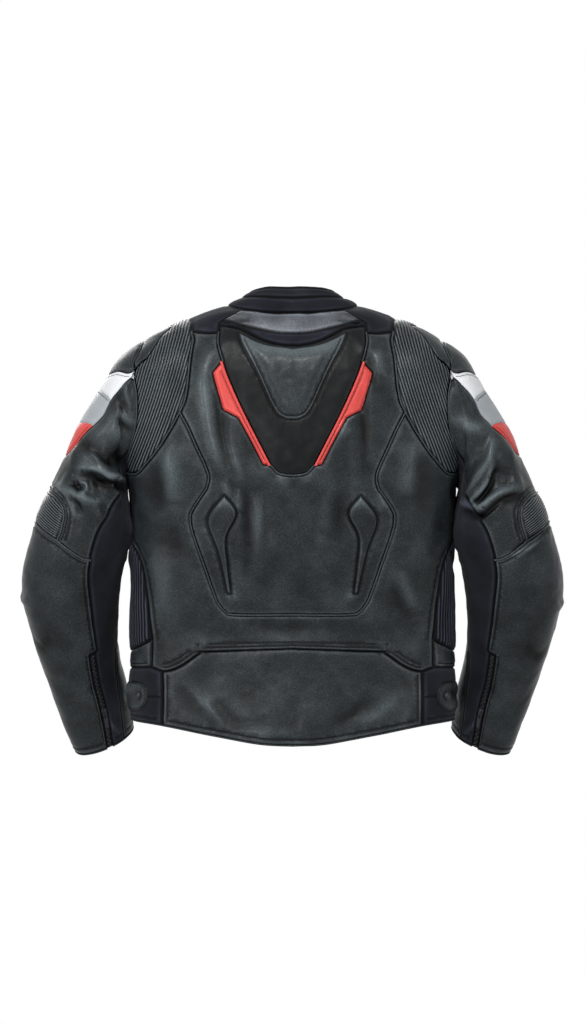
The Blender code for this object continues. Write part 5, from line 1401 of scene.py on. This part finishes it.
def build_sleeves():
    """Both sleeves: shoulder cups, colour blocks, upper, ribbed elbow, forearm, inner stretch and front."""
    s = sleeve_seams()
    cup = armhole_rims(-CUP_TURN, CUP_TURN, True)
    white = loop_of(
        s["cup_low"], armhole_rims(-CUP_TURN, -WHITE_TURN, True), s["white_low_front"], back(s["white_grey"]),
        back(s["white_low"]), armhole_rims(WHITE_TURN, CUP_TURN, True),
    )
    upper = loop_of(
        armhole_rims(WHITE_TURN, INNER_TURN, True), s["inner_upper"], s["elbow_rear"], s["elbow_top"],
        s["elbow_ahead"], back(s["front_upper"]), back(s["red_low"]), back(s["grey_low"]), back(s["white_low"]),
    )
    forearm = loop_of(
        back(s["elbow_ahead"]), back(s["elbow_foot"]), back(s["elbow_rear"]), s["inner_lower"],
        s["insert_side"], s["insert_end"], s["zip_outer"], s["cuff_forearm"], back(s["front_lower"]),
    )
    inner = loop_of(
        armhole_rims(INNER_TURN, INNER_FRONT_TURN, True), s["inner_front"], back(s["gusset_top"]), s["gusset"],
        s["cuff_gusset"], back(s["zip_inner"]), back(s["insert_side"]), back(s["inner_lower"]),
        back(s["inner_upper"]),
    )
    front = loop_of(
        armhole_rims(INNER_FRONT_TURN, 360 - WHITE_TURN, True),
        back(turned_on(back(s["grey_low_front"]) + back(s["white_low_front"]))),
        turned_on(s["front_upper"] + s["front_lower"]), s["cuff_front"], back(s["gusset"]), s["gusset_top"],
        back(s["inner_front"]),
    )
    fall = s["elbow_rear"] + s["elbow_foot"] + s["elbow_ahead"]
    plan = elbow_plan()
    parts = (
        ("sleeve_cup_inner", loop_of(cup, s["cup_seam"]), "leather", ()),
        ("sleeve_cup_outer", loop_of(s["cup_seam"], back(s["cup_low"])), "leather",
         [Channel(s["cup_seam"], 5.6, 1.1, 1.0)]),
        ("sleeve_white", white, "white_leather", [Channel(s["cup_low"], 3.0, 0.5, 0.8)]),
        ("sleeve_grey", loop_of(s["white_grey"], s["grey_low_front"], back(s["grey_red"]), back(s["grey_low"])),
         "grey_leather", [Channel(s["white_grey"], 3.0, 0.5, 0.8)]),
        ("sleeve_red", loop_of(s["grey_red"], back(s["red_low"])), "red_leather",
         [Channel(s["red_low"], 3.0, 0.5, 0.8)]),
        ("sleeve_upper", upper, "leather",
         [Channel(s["elbow_top"], 4.6, 1.3, 1.1), Channel(s["elbow_top"], 10.5, 1.3, 1.1)]),
        ("sleeve_forearm", forearm, "leather",
         [Channel(fall, 5.6, 1.6, 1.3), Channel(s["inner_lower"], 6.4, 1.0, 1.0),
          Channel(s["front_lower"], 4.8, 0.9, 1.0),
          Channel(s["zip_outer"], 4.8, 1.0, 1.0), Channel(s["cuff_forearm"], 9.0, 1.2, 1.1)]),
        ("sleeve_front", front, "leather",
         [Channel(s["gusset"], 4.4, 1.0, 1.0), Channel(s["cuff_front"], 9.0, 1.2, 1.1),
          Channel(turned_on(s["front_upper"]), 4.8, 0.9, 1.0)]),
        ("sleeve_stretch", inner, "stretch", [Channel(s["cuff_gusset"], 9.0, 0.8, 1.0)]),
    )
    for name, cloth in (("left", LEFT_SLEEVE), ("right", RIGHT_SLEEVE)):
        for node, loop, slot, channels in parts:
            wall = STRETCH_WALL if slot == "stretch" else LEATHER_WALL
            roll = BLOCK_ROLL if slot in ("white_leather", "grey_leather", "red_leather") else 1.0
            panel(f"{node}_{name}", cloth, loop, slot, channels, wall=wall, roll=roll)
        rib = ribs(plan, ELBOW_PITCH, ELBOW_RIB)
        loop = loop_of(s["elbow_top"], back(s["elbow_foot"]))
        panel(f"sleeve_elbow_rib_{name}", cloth, loop, "leather", (), plan, rib, False)


def collar_top():
    """The collar's top edge, from the zip round the back to the zip again."""
    end = 180 - math.degrees(math.asin(ZIP_HALF / COLLAR_HALF_WIDTH))
    return rims(COLLAR_SKIN, [(c, 1.0) for c in np.linspace(-end, end, 121)])


def build_collar():
    """The stretch collar and its soft top band."""
    end = on_front(ZIP_HALF, NECKLINE[-1][1])[0]
    top = collar_top()
    seam_end = (end + top[-1].place[0]) / 2
    clocks = np.linspace(seam_end, -seam_end, 121)
    band_seam = rims(COLLAR_SKIN, [(c, float(along(BAND_SEAM, abs(c))[0])) for c in clocks])
    foot = neck_rims(-end, end, True)
    panel("collar", COLLAR_CLOTH, loop_of(foot, band_seam), "stretch", wall=COLLAR_WALL)
    panel("collar_band", COLLAR_CLOTH, loop_of(back(band_seam), back(top)), "soft_band", wall=COLLAR_WALL)


def blade_outline():
    return loop_of(*(back_seam([BLADE[i % 8] for i in run]) for run in BLADE_RUNS))


def pad_sides():
    """The sides and the rounded foot of the hump's pad."""
    side = back_seam(HUMP_PAD[2:])
    return side + flipped(side)


def build_pads():
    """The hump's raised pad and the two blades, moulded over foam on the back."""
    top_half = back_seam(HUMP_PAD[:3])
    pad = whole_loop(top_half, back_seam(HUMP_PAD[2:]))
    top = spots_of(flipped(top_half) + top_half, TORSO_SKIN)

    def pad_dome(spots, base, edge):
        # A painted highlight along the pad's top roll, and the pad a little lighter all over.
        roll = np.exp(-(((nearest(spots, top)[0] - 9) / TOP_ROLL) ** 2))
        return HUMP_RISE * (1 - (1 - np.minimum(edge / HUMP_REACH, 1)) ** 2.2), TOP_SHINE * roll + 0.04

    channels = [Channel(pad_sides(), 5.2, 1.3, 1.0)]
    panel("hump_pad", TORSO_CLOTH, pad, "leather", channels, even_plan(3.2), pad_dome, lift=LAY_GAP)

    def blade_dome(spots, base, edge):
        # A painted highlight near the blade's top, the rest of it a little darker.
        tip = np.exp(-(((base[:, 2] - BLADE[0][1] + 6) / TOP_ROLL) ** 2))
        return BLADE_RISE * (1 - (1 - np.minimum(edge / BLADE_REACH, 1)) ** 2), TOP_SHINE * tip - 0.04

    blade = blade_outline()
    for name, loop in (("left", blade), ("right", flipped(blade))):
        panel(f"blade_{name}", TORSO_CLOTH, loop, "leather", (), even_plan(1.8), blade_dome, lift=LAY_GAP)


def build_tabs():
    """The waist's adjuster tabs, stitched all round, each with its snap."""
    end = [on_back(x, z) for x, z in TAB_END]
    root_top, root_low = (TAB_ROOT_CLOCK, TAB_END[0][1] - 1), (TAB_ROOT_CLOCK, TAB_END[-1][1] + 1)
    tongue = seam(TORSO_SKIN, (root_top, (92, root_top[1]), *end, (92, root_low[1]), root_low))
    loop = loop_of(tongue, seam(TORSO_SKIN, (root_low, root_top)))
    place = on_back(*SNAP_PLACE)
    out = way_out(TORSO_SKIN, [place])[0]
    seat = TORSO_SKIN.point(*place) + out * (LAY_GAP + TAB_WALL)
    for name, sign in (("left", 1), ("right", -1)):
        shape = loop if sign > 0 else flipped(loop)
        stitched = tongue if sign > 0 else flipped(tongue)
        panel(
            f"waist_tab_{name}", TORSO_CLOTH, shape, "leather", [Channel(stitched, 3.2, 0.5, 0.8)],
            even_plan(3.0), lift=TAB_WALL, wall=TAB_WALL,
        )
        mirror = np.array([sign, 1, 1])
        made = link(f"snap_cap_{name}", snap_cap(local_frame(seat * mirror, out * mirror, (0, 0, 1))), "zip_metal")
        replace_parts(made, f"waist_snap_{name}")


def local_frame(seat, out, up):
    """A frame at a seat in millimetres: Z out of the cloth, Y as near up as it can be, X across."""
    out = Vector(out).normalized()
    across = Vector(up).cross(out).normalized()
    rise = out.cross(across)
    made = Matrix((across, rise, out)).transposed().to_4x4()
    made.translation = Vector(seat) * MM
    return made


def mesh_of(bm, name):
    """A smooth mesh of a bmesh, which is freed."""
    mesh = bpy.data.meshes.new(name)
    bm.to_mesh(mesh)
    bm.free()
    mesh.shade_smooth()
    return mesh


def snap_cap(place):
    """A pressed snap cap: a rolled rim, a hollow ring and a low dome, spun about its axis."""
    bm = bmesh.new()
    verts = [bm.verts.new((radius * MM, 0, height * MM)) for radius, height in SNAP_PROFILE]
    edges = [bm.edges.new(pair) for pair in zip(verts[:-1], verts[1:])]
    bmesh.ops.spin(
        bm, geom=verts + edges, cent=(0, 0, 0), axis=(0, 0, 1), angle=2 * math.pi, steps=40, use_merge=True
    )
    bmesh.ops.remove_doubles(bm, verts=bm.verts[:], dist=0.01 * MM)
    bmesh.ops.recalc_face_normals(bm, faces=bm.faces[:])
    bm.transform(place)
    return mesh_of(bm, "snap_cap")


def tube(points, radius):
    """A round cord's mesh along points in millimetres, with filled ends."""
    curve = bpy.data.curves.new("cord", "CURVE")
    curve.dimensions = "3D"
    curve.bevel_depth = radius * MM
    curve.bevel_resolution = 2
    curve.use_fill_caps = True
    spline = curve.splines.new("POLY")
    spline.points.add(len(points) - 1)
    spline.points.foreach_set("co", np.column_stack([points * MM, np.ones(len(points))]).ravel())
    helper = bpy.data.objects.new("cord", curve)
    mesh = bpy.data.meshes.new_from_object(helper)
    bpy.data.objects.remove(helper)
    bpy.data.curves.remove(curve)
    return mesh


def joined(name, meshes):
    """One mesh of several."""
    bm = bmesh.new()
    for mesh in meshes:
        bm.from_mesh(mesh)
        bpy.data.meshes.remove(mesh)
    bmesh.ops.recalc_face_normals(bm, faces=bm.faces[:])
    return evenly_toned(mesh_of(bm, name))


def evenly_toned(mesh):
    """The same tone all over a small piece, with no painted shade or highlight."""
    painted_tone = mesh.attributes.new("tone", "FLOAT", "POINT")
    painted_tone.data.foreach_set("value", np.full(len(mesh.vertices), EVEN_TONE, np.float32))
    return mesh


def laid_points(cloth, spots, lift):
    """Points of the finished cloth's surface at spots, raised by a lift."""
    places = spots / cloth.skin.scale
    points = cloth.skin.point(places[:, 0], places[:, 1])
    out = way_out(cloth.skin, places)
    rise = relief(cloth, spots, points) + lift
    return (points + out * rise[:, None]) * np.array([cloth.side, 1.0, 1.0])


def cord_on(cloth, chain, radius, distance=0.0, lift=0.0):
    spots = along_line(spots_of(chain, cloth.skin), EDGE_STEP)
    return tube(laid_points(cloth, shifted(spots, distance), lift), radius)


def build_piping():
    """Piped cords along the seams, rolled edges at hem, cuffs and collar, and the red cords of the hump."""
    s = torso_seams()
    cords = {"piping": [], "red_piping": [], "rolled_edges": []}
    for name, radius, distance, lift in TORSO_PIPING:
        cords["piping"].append(cord_on(TORSO_CLOTH, s[name], radius, distance, lift))
        cords["piping"].append(cord_on(TORSO_CLOTH, flipped(s[name]), radius, distance, lift))
    for chain in (s["hump_low"], flipped(s["hump_low"])):
        cords["red_piping"].append(cord_on(TORSO_CLOTH, chain, RED_CORD, RED_CORD_SHIFT, RED_CORD_LIFT))
    for name in ("hem_back", "hem_side", "hem_front"):
        for chain in (s[name], flipped(s[name])):
            cords["rolled_edges"].append(cord_on(TORSO_CLOTH, chain, EDGE_FOLD, 0.0, -EDGE_FOLD))
    s = sleeve_seams()
    for cloth in (LEFT_SLEEVE, RIGHT_SLEEVE):
        for name, radius, distance, lift in SLEEVE_PIPING:
            cords["piping"].append(cord_on(cloth, s[name], radius, distance, lift))
        for name in ("cuff_forearm", "cuff_gusset", "cuff_front"):
            cords["rolled_edges"].append(cord_on(cloth, s[name], EDGE_FOLD, 0.0, -EDGE_FOLD))
    for name, slot, look in (
        ("piping", "leather", "piping"), ("red_piping", "red_leather", None), ("rolled_edges", "leather", None)
    ):
        link(name, joined(name, cords[name]), slot, look)
    made = joined("collar_fold", [cord_on(COLLAR_CLOTH, collar_top(), COLLAR_FOLD, 0.0, -COLLAR_FOLD)])
    link("collar_fold", made, "soft_band")


def repeated(name, template, frames, slot, look=None):
    """One mesh of a small shape repeated at each frame."""
    count = len(template.vertices)
    corners = np.empty(count * 3)
    template.vertices.foreach_get("co", corners)
    corners = np.column_stack([corners.reshape(-1, 3), np.ones(count)])
    faces = [list(f.vertices) for f in template.polygons]
    points = np.vstack([corners @ np.array(f).T[:, :3] for f in frames])
    mesh = bpy.data.meshes.new(name)
    mesh.from_pydata(points, [], [[v + count * k for v in face] for k in range(len(frames)) for face in faces])
    mesh.shade_smooth()
    bpy.data.meshes.remove(template)
    return link(name, evenly_toned(mesh), slot, look)


def stitch_template():
    """One stitch of thread, lying along X."""
    bm = bmesh.new()
    bmesh.ops.create_uvsphere(bm, u_segments=6, v_segments=5, radius=THREAD_RADIUS * MM)
    bmesh.ops.rotate(bm, verts=bm.verts[:], cent=(0, 0, 0), matrix=Matrix.Rotation(math.pi / 2, 3, "Y"))
    bmesh.ops.scale(bm, verts=bm.verts[:], vec=(STITCH_LENGTH / 2 / THREAD_RADIUS, 1, 1))
    return mesh_of(bm, "stitch")


def build_stitches():
    """Thread along every stitched channel."""
    frames = []
    for cloth, line, rise in STITCH_ROWS:
        gaps = np.linalg.norm(np.diff(line, axis=0), axis=1)
        for run in np.split(line, np.flatnonzero(gaps > 3 * EDGE_STEP) + 1):
            if len(run) < 3:
                continue
            spots = along_line(run, STITCH_PITCH / 2)
            points = laid_points(cloth, spots, rise)
            normals = way_out(cloth.skin, spots / cloth.skin.scale) * (cloth.side, 1, 1)
            for k in range(1, len(points) - 1, 2):
                frames.append(thread_frame(points[k], points[k + 1] - points[k - 1], normals[k]))
    repeated("stitches", stitch_template(), frames, "leather", "thread")


def thread_frame(point, run, out):
    """A frame with X along a run and Z out of the cloth."""
    x = run / np.linalg.norm(run)
    y = np.cross(out, x)
    y /= np.linalg.norm(y)
    frame_at = np.eye(4)
    frame_at[:3, 0], frame_at[:3, 1], frame_at[:3, 2], frame_at[:3, 3] = x, y, np.cross(x, y), point * MM
    return frame_at


def tooth_template(wide, long, high):
    """One moulded zip tooth, its length along X and its foot on the tape."""
    bm = bmesh.new()
    bmesh.ops.create_cube(bm, size=1.0)
    bmesh.ops.scale(bm, verts=bm.verts[:], vec=(long * MM, wide * MM, high * MM))
    bmesh.ops.bevel(
        bm, geom=bm.edges[:], offset=0.28 * MM, offset_type="OFFSET", segments=1, profile=0.5,
        affect="EDGES", material=-1,
    )
    return mesh_of(bm, "tooth")


def teeth_frames(points, normals):
    """Frames of meshed teeth, by turns to each side of a zip's middle line."""
    frames = []
    for k in range(1, len(points) - 1):
        run = points[k + 1] - points[k - 1]
        across = np.cross(normals[k], run / np.linalg.norm(run))
        shift = TOOTH_SHIFT if k % 2 else -TOOTH_SHIFT
        frames.append(thread_frame(points[k] + across * shift, run, normals[k]))
    return frames


def build_zips():
    """The closed front zip's tapes and teeth, and a zip at each cuff."""
    half = ZIP_HALF - SEAM_GAP / 2
    low, high = float(along(HEM, 180)[0]) + SEAM_GAP, NECKLINE[-1][1]
    columns = np.linspace(half, -half, 9)
    points, normals = [], []
    for height in np.linspace(low, high, 150)[:-1]:
        row = np.array([on_front(x, height) for x in columns])
        row[row[:, 0] < 0, 0] += 360
        points.append(TORSO_SKIN.point(row[:, 0], row[:, 1]))
        normals.append(way_out(TORSO_SKIN, row))
    for rise in np.linspace(0.02, ZIP_TOP_RISE, 14):
        size = COLLAR_HALF_WIDTH + (1 - rise) * (abs(torso_point(180, high)[1]) - COLLAR_HALF_WIDTH)
        row = np.array([(180 - math.degrees(math.asin(x / size)), rise) for x in columns])
        points.append(COLLAR_SKIN.point(row[:, 0], row[:, 1]))
        normals.append(way_out(COLLAR_SKIN, row))
    points, normals = np.array(points), np.array(normals)
    rows, across = points.shape[:2]
    points = points - normals * ZIP_SINK
    faces = [
        [a, a + 1, a + across + 1, a + across]
        for k in range(rows - 1) for a in range(k * across, k * across + across - 1)
    ]
    mesh = bpy.data.meshes.new("front_zip_tape")
    mesh.from_pydata(points.reshape(-1, 3) * MM, [], faces)
    mesh.shade_smooth()
    if mesh.polygons[0].normal.y > 0:
        mesh.flip_normals()
    made = link("front_zip_tape", evenly_toned(mesh), "zip_tape")
    shell = made.modifiers.new("wall", "SOLIDIFY")
    shell.thickness, shell.offset = STRETCH_WALL * MM, -1.0
    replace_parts(made, "front_zip")
    middle = along_line(np.column_stack([points[:, across // 2], normals[:, across // 2]]), TOOTH_PITCH)
    frames = teeth_frames(middle[:, :3] + middle[:, 3:] * TOOTH_HIGH / 2, middle[:, 3:])
    repeated("front_zip_teeth", tooth_template(TOOTH_WIDE, TOOTH_LONG, TOOTH_HIGH), frames, "zip_metal")
    s = sleeve_seams()
    zipper = loop_of(s["insert_end"], s["zip_outer"], s["cuff_zip"], back(s["zip_inner"]))
    outer, inner = (along_line(spots_of(s[name], SLEEVE_SKIN), 1.0) for name in ("zip_outer", "zip_inner"))
    share = np.linspace(0, 1, 120)
    outer, inner = (line[np.round(share * (len(line) - 1)).astype(int)] for line in (outer, inner))
    middle = along_line((outer + inner) / 2, TOOTH_PITCH)
    frames = []
    for name, cloth in (("left", LEFT_SLEEVE), ("right", RIGHT_SLEEVE)):
        panel(f"cuff_zip_{name}", cloth, zipper, "zip_tape", lift=-0.4, wall=STRETCH_WALL)
        points = laid_points(cloth, middle, 0.6)
        normals = way_out(cloth.skin, middle / cloth.skin.scale) * (cloth.side, 1, 1)
        frames += teeth_frames(points, normals)
    repeated("cuff_zip_teeth", tooth_template(TOOTH_WIDE * 0.8, TOOTH_LONG, TOOTH_HIGH), frames, "zip_metal")


def build_sliders():
    """The sliders and their pulls, with their edges softened."""
    for node, body in METAL_NODES:
        bm = bmesh.new()
        bm.from_mesh(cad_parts[node].data)
        bmesh.ops.remove_doubles(bm, verts=bm.verts[:], dist=0.01 * MM)
        bmesh.ops.dissolve_limit(
            bm, angle_limit=math.radians(3), verts=bm.verts[:], edges=bm.edges[:], use_dissolve_boundaries=False
        )
        bmesh.ops.recalc_face_normals(bm, faces=bm.faces[:])
        bm.normal_update()
        sharp = [e for e in bm.edges if e.is_manifold and e.calc_face_angle(0) > math.radians(30)]
        bmesh.ops.bevel(
            bm, geom=sharp, offset=METAL_EDGE * MM, offset_type="OFFSET", segments=2, profile=0.5,
            affect="EDGES", material=-1, clamp_overlap=True,
        )
        mesh = mesh_of(bm, node + "_metal")
        mesh.set_sharp_from_angle(angle=math.radians(35))
        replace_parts(link(node + "_metal", mesh, "zip_metal", body=body), node)


def lamp(name, place, target, size, watts):
    """A soft area lamp at a place, turned to a target."""
    light = bpy.data.lights.new(name, "AREA")
    light.shape = "RECTANGLE"
    light.size, light.size_y = size
    light.energy = watts
    made = bpy.data.objects.new(name, light)
    bpy.context.scene.collection.objects.link(made)
    made.location = place
    made.rotation_euler = (Vector(target) - Vector(place)).to_track_quat("-Z", "Y").to_euler()


def build_stage():
    """A white floor that keeps the shadow, a white world, soft lamps and the camera behind the jacket."""
    scene = bpy.context.scene
    bm = bmesh.new()
    bmesh.ops.create_circle(bm, cap_ends=True, segments=96, radius=FLOOR_RADIUS)
    bmesh.ops.translate(bm, vec=(0, 0, FLOOR_HEIGHT), verts=bm.verts[:])
    mesh = mesh_of(bm, "floor")
    floor = bpy.data.objects.new("floor", mesh)
    scene.collection.objects.link(floor)
    material, shader = shader_of("floor_white")
    pale = (("Base Color", (0.92, 0.92, 0.92, 1.0)), ("Roughness", 0.9), ("Specular IOR Level", 0.1))
    set_inputs(material, shader, pale)
    place = wired(material, "ShaderNodeTexCoord").outputs["Object"]
    reach = wired(material, "ShaderNodeVectorMath", [(0, place)], operation="LENGTH").outputs["Value"]
    fade = ranged(material, reach, FLOOR_RADIUS * 0.66, FLOOR_RADIUS * 0.97, interpolation_type="SMOOTHSTEP")
    glow = wired(material, "ShaderNodeEmission").outputs["Emission"]
    both = wired(material, "ShaderNodeMixShader", [(0, fade), (1, shader.outputs["BSDF"]), (2, glow)])
    set_inputs(material, material.node_tree.nodes["Material Output"], [("Surface", both.outputs["Shader"])])
    mesh.materials.append(material)

    world = bpy.data.worlds.new("studio")
    scene.world = world
    world.use_nodes = True
    plain = world.node_tree.nodes["Background"]
    set_inputs(world, plain, [("Color", PLAIN_WHITE), ("Strength", WORLD_LIGHT)])
    white = wired(world, "ShaderNodeBackground", [("Color", PLAIN_WHITE)])
    path = wired(world, "ShaderNodeLightPath").outputs
    seen = reckoned(world, "MAXIMUM", path["Is Camera Ray"], path["Is Glossy Ray"])
    either = reckoned(world, "MAXIMUM", seen, path["Is Transmission Ray"])
    both = wired(world, "ShaderNodeMixShader", [(0, either), (1, plain.outputs[0]), (2, white.outputs[0])])
    set_inputs(world, world.node_tree.nodes["World Output"], [("Surface", both.outputs[0])])

    scene.view_settings.view_transform = "Standard"
    for row in LAMPS:
        lamp(*row)
    camera = bpy.data.cameras.new("camera")
    camera.lens, camera.sensor_width = CAMERA_LENS, 24.0
    made = bpy.data.objects.new("camera", camera)
    scene.collection.objects.link(made)
    made.location = CAMERA_PLACE
    made.rotation_euler = (math.pi / 2, 0.0, math.pi)
    scene.camera = made


def colour_property(name, description, default):
    return bpy.props.FloatVectorProperty(
        name=name, description=description, default=default, subtype="COLOR", size=3, min=0.0, max=1.0
    )


class JacketSizes(bpy.types.PropertyGroup):
    """Sizes of the jacket's cloth."""

    cloth_step: bpy.props.FloatProperty(
        name="Cloth step", description="Spacing of the mesh on plain panels", default=0.0041, unit="LENGTH"
    )


class JacketColours(bpy.types.PropertyGroup):
    """Colours of the jacket's leathers, textiles and metal."""

    leather: colour_property("Leather", "Body leather", (0.0095, 0.0115, 0.0124))
    hump: colour_property("Hump", "Smooth leather round the pad of the hump", (0.005, 0.0056, 0.006))
    neck: colour_property("Neck", "Grey leather below the collar", (0.045, 0.049, 0.056))
    grey: colour_property("Grey", "Light grey block of the sleeve", (0.36, 0.385, 0.41))
    white: colour_property("White", "White block of the sleeve", (0.76, 0.78, 0.80))
    red: colour_property("Red", "Red blocks and flashes", (0.82, 0.085, 0.075))
    stretch: colour_property("Stretch", "Stretch textile panels", (0.012, 0.0135, 0.019))
    band: colour_property("Band", "Soft band along the collar's top", (0.012, 0.013, 0.017))
    tape: colour_property("Tape", "Zip tape", (0.010, 0.010, 0.012))
    thread: colour_property("Thread", "Sewing thread", (0.018, 0.020, 0.022))
    metal: colour_property("Metal", "Lacquer of zips and snaps", (0.030, 0.030, 0.034))
    flesh: colour_property("Flesh side", "Inner face of the leather", (0.05, 0.05, 0.055))


class JACKET_OT_finishes(bpy.types.Operator):
    """Make every leather, textile, thread and metal finish"""

    bl_idname = "jacket.finishes"
    bl_label = "Finishes"

    def execute(self, context):
        build_finishes()
        return {"FINISHED"}


class JACKET_OT_stage(bpy.types.Operator):
    """Make the floor, world, lamps and camera"""

    bl_idname = "jacket.stage"
    bl_label = "Stage"

    def execute(self, context):
        build_stage()
        return {"FINISHED"}


class JACKET_OT_back(bpy.types.Operator):
    """Make the neck, hump, centre back, outer back and lower back"""

    bl_idname = "jacket.back"
    bl_label = "Back panels"

    def execute(self, context):
        build_back()
        return {"FINISHED"}


class JACKET_OT_flanks(bpy.types.Operator):
    """Make the flashes, ribbed shoulders, yokes, sides, waist and fronts"""

    bl_idname = "jacket.flanks"
    bl_label = "Shoulders, sides and fronts"

    def execute(self, context):
        build_flanks()
        return {"FINISHED"}


class JACKET_OT_sleeves(bpy.types.Operator):
    """Make both sleeves"""

    bl_idname = "jacket.sleeves"
    bl_label = "Sleeves"

    def execute(self, context):
        build_sleeves()
        return {"FINISHED"}


class JACKET_OT_pads(bpy.types.Operator):
    """Make the hump's raised pad and the two blades"""

    bl_idname = "jacket.pads"
    bl_label = "Raised pads"

    def execute(self, context):
        build_pads()
        return {"FINISHED"}


class JACKET_OT_collar(bpy.types.Operator):
    """Make the collar and its soft band"""

    bl_idname = "jacket.collar"
    bl_label = "Collar"

    def execute(self, context):
        build_collar()
        return {"FINISHED"}


class JACKET_OT_tabs(bpy.types.Operator):
    """Make the waist tabs and their snaps"""

    bl_idname = "jacket.tabs"
    bl_label = "Waist tabs"

    def execute(self, context):
        build_tabs()
        return {"FINISHED"}


class JACKET_OT_zips(bpy.types.Operator):
    """Make the front and cuff zips with their teeth"""

    bl_idname = "jacket.zips"
    bl_label = "Zips"

    def execute(self, context):
        build_zips()
        return {"FINISHED"}


class JACKET_OT_sliders(bpy.types.Operator):
    """Make the zip sliders and their pulls"""

    bl_idname = "jacket.sliders"
    bl_label = "Sliders and pulls"

    def execute(self, context):
        build_sliders()
        return {"FINISHED"}


class JACKET_OT_piping(bpy.types.Operator):
    """Make the piped cords and the rolled edges"""

    bl_idname = "jacket.piping"
    bl_label = "Piping and edges"

    def execute(self, context):
        build_piping()
        return {"FINISHED"}


class JACKET_OT_stitches(bpy.types.Operator):
    """Make the thread of every stitched line, after the panels"""

    bl_idname = "jacket.stitches"
    bl_label = "Stitches"

    def execute(self, context):
        build_stitches()
        return {"FINISHED"}


STEPS = (
    JACKET_OT_finishes, JACKET_OT_stage, JACKET_OT_back, JACKET_OT_flanks, JACKET_OT_sleeves, JACKET_OT_pads,
    JACKET_OT_collar, JACKET_OT_tabs, JACKET_OT_zips, JACKET_OT_sliders, JACKET_OT_piping, JACKET_OT_stitches,
)


class JACKET_PT_parts(bpy.types.Panel):
    """Lists the jacket's sizes, colours and pieces"""

    bl_idname = "JACKET_PT_parts"
    bl_label = "Leather jacket"
    bl_space_type = "VIEW_3D"
    bl_region_type = "UI"
    bl_category = "Jacket"

    def draw(self, context):
        column = self.layout.column()
        for group in (context.scene.jacket_sizes, context.scene.jacket_colours):
            for name in group.__annotations__:
                column.prop(group, name)
        for step in STEPS:
            column.operator(step.bl_idname)


CLASSES = (JacketSizes, JacketColours, *STEPS, JACKET_PT_parts)


def register():
    for cls in CLASSES:
        bpy.utils.register_class(cls)
    bpy.types.Scene.jacket_sizes = bpy.props.PointerProperty(type=JacketSizes)
    bpy.types.Scene.jacket_colours = bpy.props.PointerProperty(type=JacketColours)


def unregister():
    del bpy.types.Scene.jacket_colours
    del bpy.types.Scene.jacket_sizes
    for cls in reversed(CLASSES):
        bpy.utils.unregister_class(cls)


def main():
    register()
    group = bpy.data.collections.new("Jacket")
    bpy.context.scene.collection.children.link(group)
    for step in STEPS:
        family, name = step.bl_idname.split(".")
        getattr(getattr(bpy.ops, family), name)()
    bpy.context.view_layer.update()


if __name__ == "__main__":
    main()
